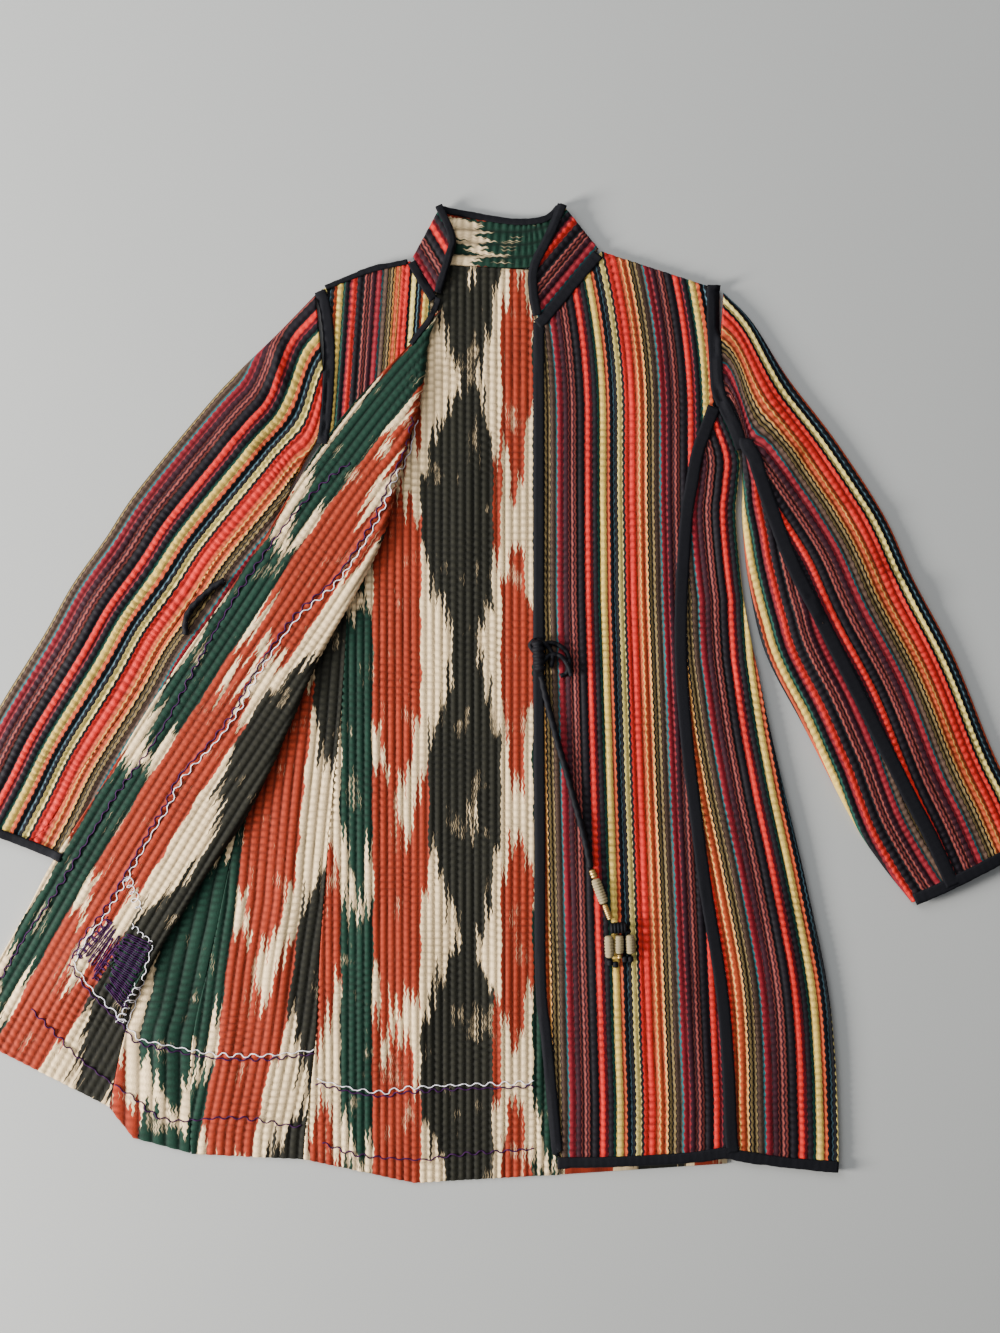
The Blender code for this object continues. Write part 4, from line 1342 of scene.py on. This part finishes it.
class ROBE_OT_stage(Piece, bpy.types.Operator):
    """Lay the floor and set the camera and the lights"""

    bl_idname = "robe.stage"
    bl_label = "Stage"

    def execute(self, context):
        bpy.ops.mesh.primitive_plane_add(size=6.0, location=(0, 0, -0.0004))
        floor = context.object
        floor.name = "floor"
        floor.data.materials.append(material("pale_floor", floor_material))
        height = context.scene.robe_sizes.camera_height
        camera_data = bpy.data.cameras.new("camera")
        camera_data.sensor_fit = "VERTICAL"
        camera_data.sensor_height = 24.0
        camera_data.lens = camera_data.sensor_height * height / PICTURE_HEIGHT
        camera = bpy.data.objects.new("camera", camera_data)
        camera.location = (*CAMERA_OVER, height)
        context.scene.collection.objects.link(camera)
        context.scene.camera = camera
        for lamp in LAMPS:
            data = bpy.data.lights.new(lamp.name, "AREA")
            data.size = lamp.size
            data.energy = lamp.power
            data.color = lamp.colour
            light = bpy.data.objects.new(lamp.name, data)
            light.location = lamp.place
            aim = LAMP_TARGET - Vector(lamp.place)
            light.rotation_euler = aim.to_track_quat("-Z", "Y").to_euler()
            context.scene.collection.objects.link(light)
        world = bpy.data.worlds.new("studio")
        world.use_nodes = True
        background = world.node_tree.nodes["Background"]
        background.inputs["Color"].default_value = colour_value(SKY)
        background.inputs["Strength"].default_value = SKY_STRENGTH
        context.scene.world = world
        return {"FINISHED"}


class ROBE_OT_body(Piece, bpy.types.Operator):
    """Lay the back, the two fronts and the collar"""

    bl_idname = "robe.body"
    bl_label = "Body"

    def execute(self, context):
        lining = "ikat_lining"
        outer = "striped_outer"
        side_right = tuple(zip(RIGHT_SIDE_SEAM, BACK_PRINCESS))
        princess_left = tuple((2 * BACK_MIDDLE - across, down) for across, down in BACK_PRINCESS)
        side_left = tuple(zip(princess_left, HIDDEN_SIDE_SEAM))
        right_end = collar_grain((413, 264), (434, 299), -1)
        left_end = collar_grain((600, 254), (540, 326), -6)
        SHELLS.extend((
            flat_cloth("back_center", BACK_ROWS, lining, back_grain, 1),
            flat_cloth("back_hidden", BACK_HIDDEN_ROWS, lining, back_grain, 1, False, False),
            flat_cloth("back_side_right", side_right, lining, back_side_grain, 2),
            flat_cloth("back_side_left", side_left, lining, back_grain, 2, False),
            flat_cloth("front_right_side", RIGHT_SIDE_ROWS, lining, front_right_side_grain, 3),
            flat_cloth("front_left_center", CENTRE_ROWS, outer, front_grain, 4),
            flat_cloth("front_left_side", SIDE_ROWS, outer, front_side_grain, 6),
            flat_cloth("front_right_shoulder", SHOULDER_ROWS, outer, shoulder_grain, 7),
            build_flap_cloth(),
            flat_cloth("collar_back", COLLAR_BACK_ROWS, lining, collar_back_grain, 8),
            flat_cloth("collar_right", COLLAR_RIGHT_ROWS, outer, right_end, 9),
            flat_cloth("collar_left", COLLAR_LEFT_ROWS, outer, left_end, 10),
        ))
        return {"FINISHED"}


class ROBE_OT_sleeves(Piece, bpy.types.Operator):
    """Lay the two sleeves, each of two pieces"""

    bl_idname = "robe.sleeves"
    bl_label = "Sleeves"

    def execute(self, context):
        SHELLS.extend((
            sleeve_half("sleeve_left_upper", LEFT_SLEEVE, 4.2, 1.0, 11),
            sleeve_half("sleeve_left_lower", LEFT_SLEEVE, 4.2, 1.0, 12),
            sleeve_half("sleeve_right_upper", RIGHT_SLEEVE, 3.6, 0.55, 13),
            sleeve_half("sleeve_right_lower", RIGHT_SLEEVE, 0.0, 0.55, 14),
        ))
        return {"FINISHED"}


class ROBE_OT_tapes(Piece, bpy.types.Operator):
    """Lay the bindings and the tapes over the seams"""

    bl_idname = "robe.tapes"
    bl_label = "Tapes"

    def execute(self, context):
        tree = surface_tree()
        for tape in TAPES:
            laid_tape(tree, tape)
        return {"FINISHED"}


class ROBE_OT_stitching(Piece, bpy.types.Operator):
    """Sew the zigzag lines and the mend on the lining"""

    bl_idname = "robe.stitching"
    bl_label = "Stitching"

    def execute(self, context):
        tree = surface_tree()
        build_stitches(tree)
        build_mend(tree)
        return {"FINISHED"}


class ROBE_OT_ties(Piece, bpy.types.Operator):
    """Lay the two ties and the beads"""

    bl_idname = "robe.ties"
    bl_label = "Ties"

    def execute(self, context):
        tree = surface_tree()
        black = thread("tie_cord", BLACK)
        looks = {
            "tie_cord": black,
            "wrapped_thread": thread("wrapped_thread", KHAKI),
            "gold_metal": material("gilt", metal_material),
        }
        beads = [bead_shape(bead, looks, bead.name) for bead in BEADS]
        beads += [bead_shape(bead, looks) for bead in SMALL_BEADS]
        lay_cord(tree, "tie_left", TIE_ROUTE, black)
        lay_cord(tree, "tie_right", LOOP_ROUTE, black)
        bead_shape(KNOT, looks, KNOT.name, bulge=0.3)
        wraps = [
            on_cloth(tree, route_points(spots, KNOT_STEP)[0], lift) for spots, lift in KNOT_LOOPS
        ]
        tubes("knot_loops", wraps, 2.3, black, "tie_cord", 8)
        return {"FINISHED"}


class ROBE_PT_panel(bpy.types.Panel):
    """The robe's pieces and sizes"""

    bl_idname = "ROBE_PT_panel"
    bl_label = "Chapan robe"
    bl_space_type = "VIEW_3D"
    bl_region_type = "UI"
    bl_category = "Robe"

    def draw(self, context):
        for name in ("channel", "rib", "pucker", "camera_height"):
            self.layout.prop(context.scene.robe_sizes, name)
        for name in ("tape", "floor"):
            self.layout.prop(context.scene.robe_colours, name)
        for operator in OPERATORS:
            self.layout.operator(operator.bl_idname)


OPERATORS = (
    ROBE_OT_stage, ROBE_OT_body, ROBE_OT_sleeves, ROBE_OT_tapes, ROBE_OT_stitching, ROBE_OT_ties,
)
CLASSES = (RobeSizes, RobeColours) + OPERATORS + (ROBE_PT_panel,)


def register():
    for item in CLASSES:
        bpy.utils.register_class(item)
    bpy.types.Scene.robe_sizes = bpy.props.PointerProperty(type=RobeSizes)
    bpy.types.Scene.robe_colours = bpy.props.PointerProperty(type=RobeColours)


def unregister():
    del bpy.types.Scene.robe_colours
    del bpy.types.Scene.robe_sizes
    for item in reversed(CLASSES):
        bpy.utils.unregister_class(item)


def main():
    register()
    bpy.ops.robe.stage()
    bpy.ops.robe.body()
    bpy.ops.robe.sleeves()
    bpy.ops.robe.tapes()
    bpy.ops.robe.stitching()
    bpy.ops.robe.ties()


if __name__ == "__main__":
    main()
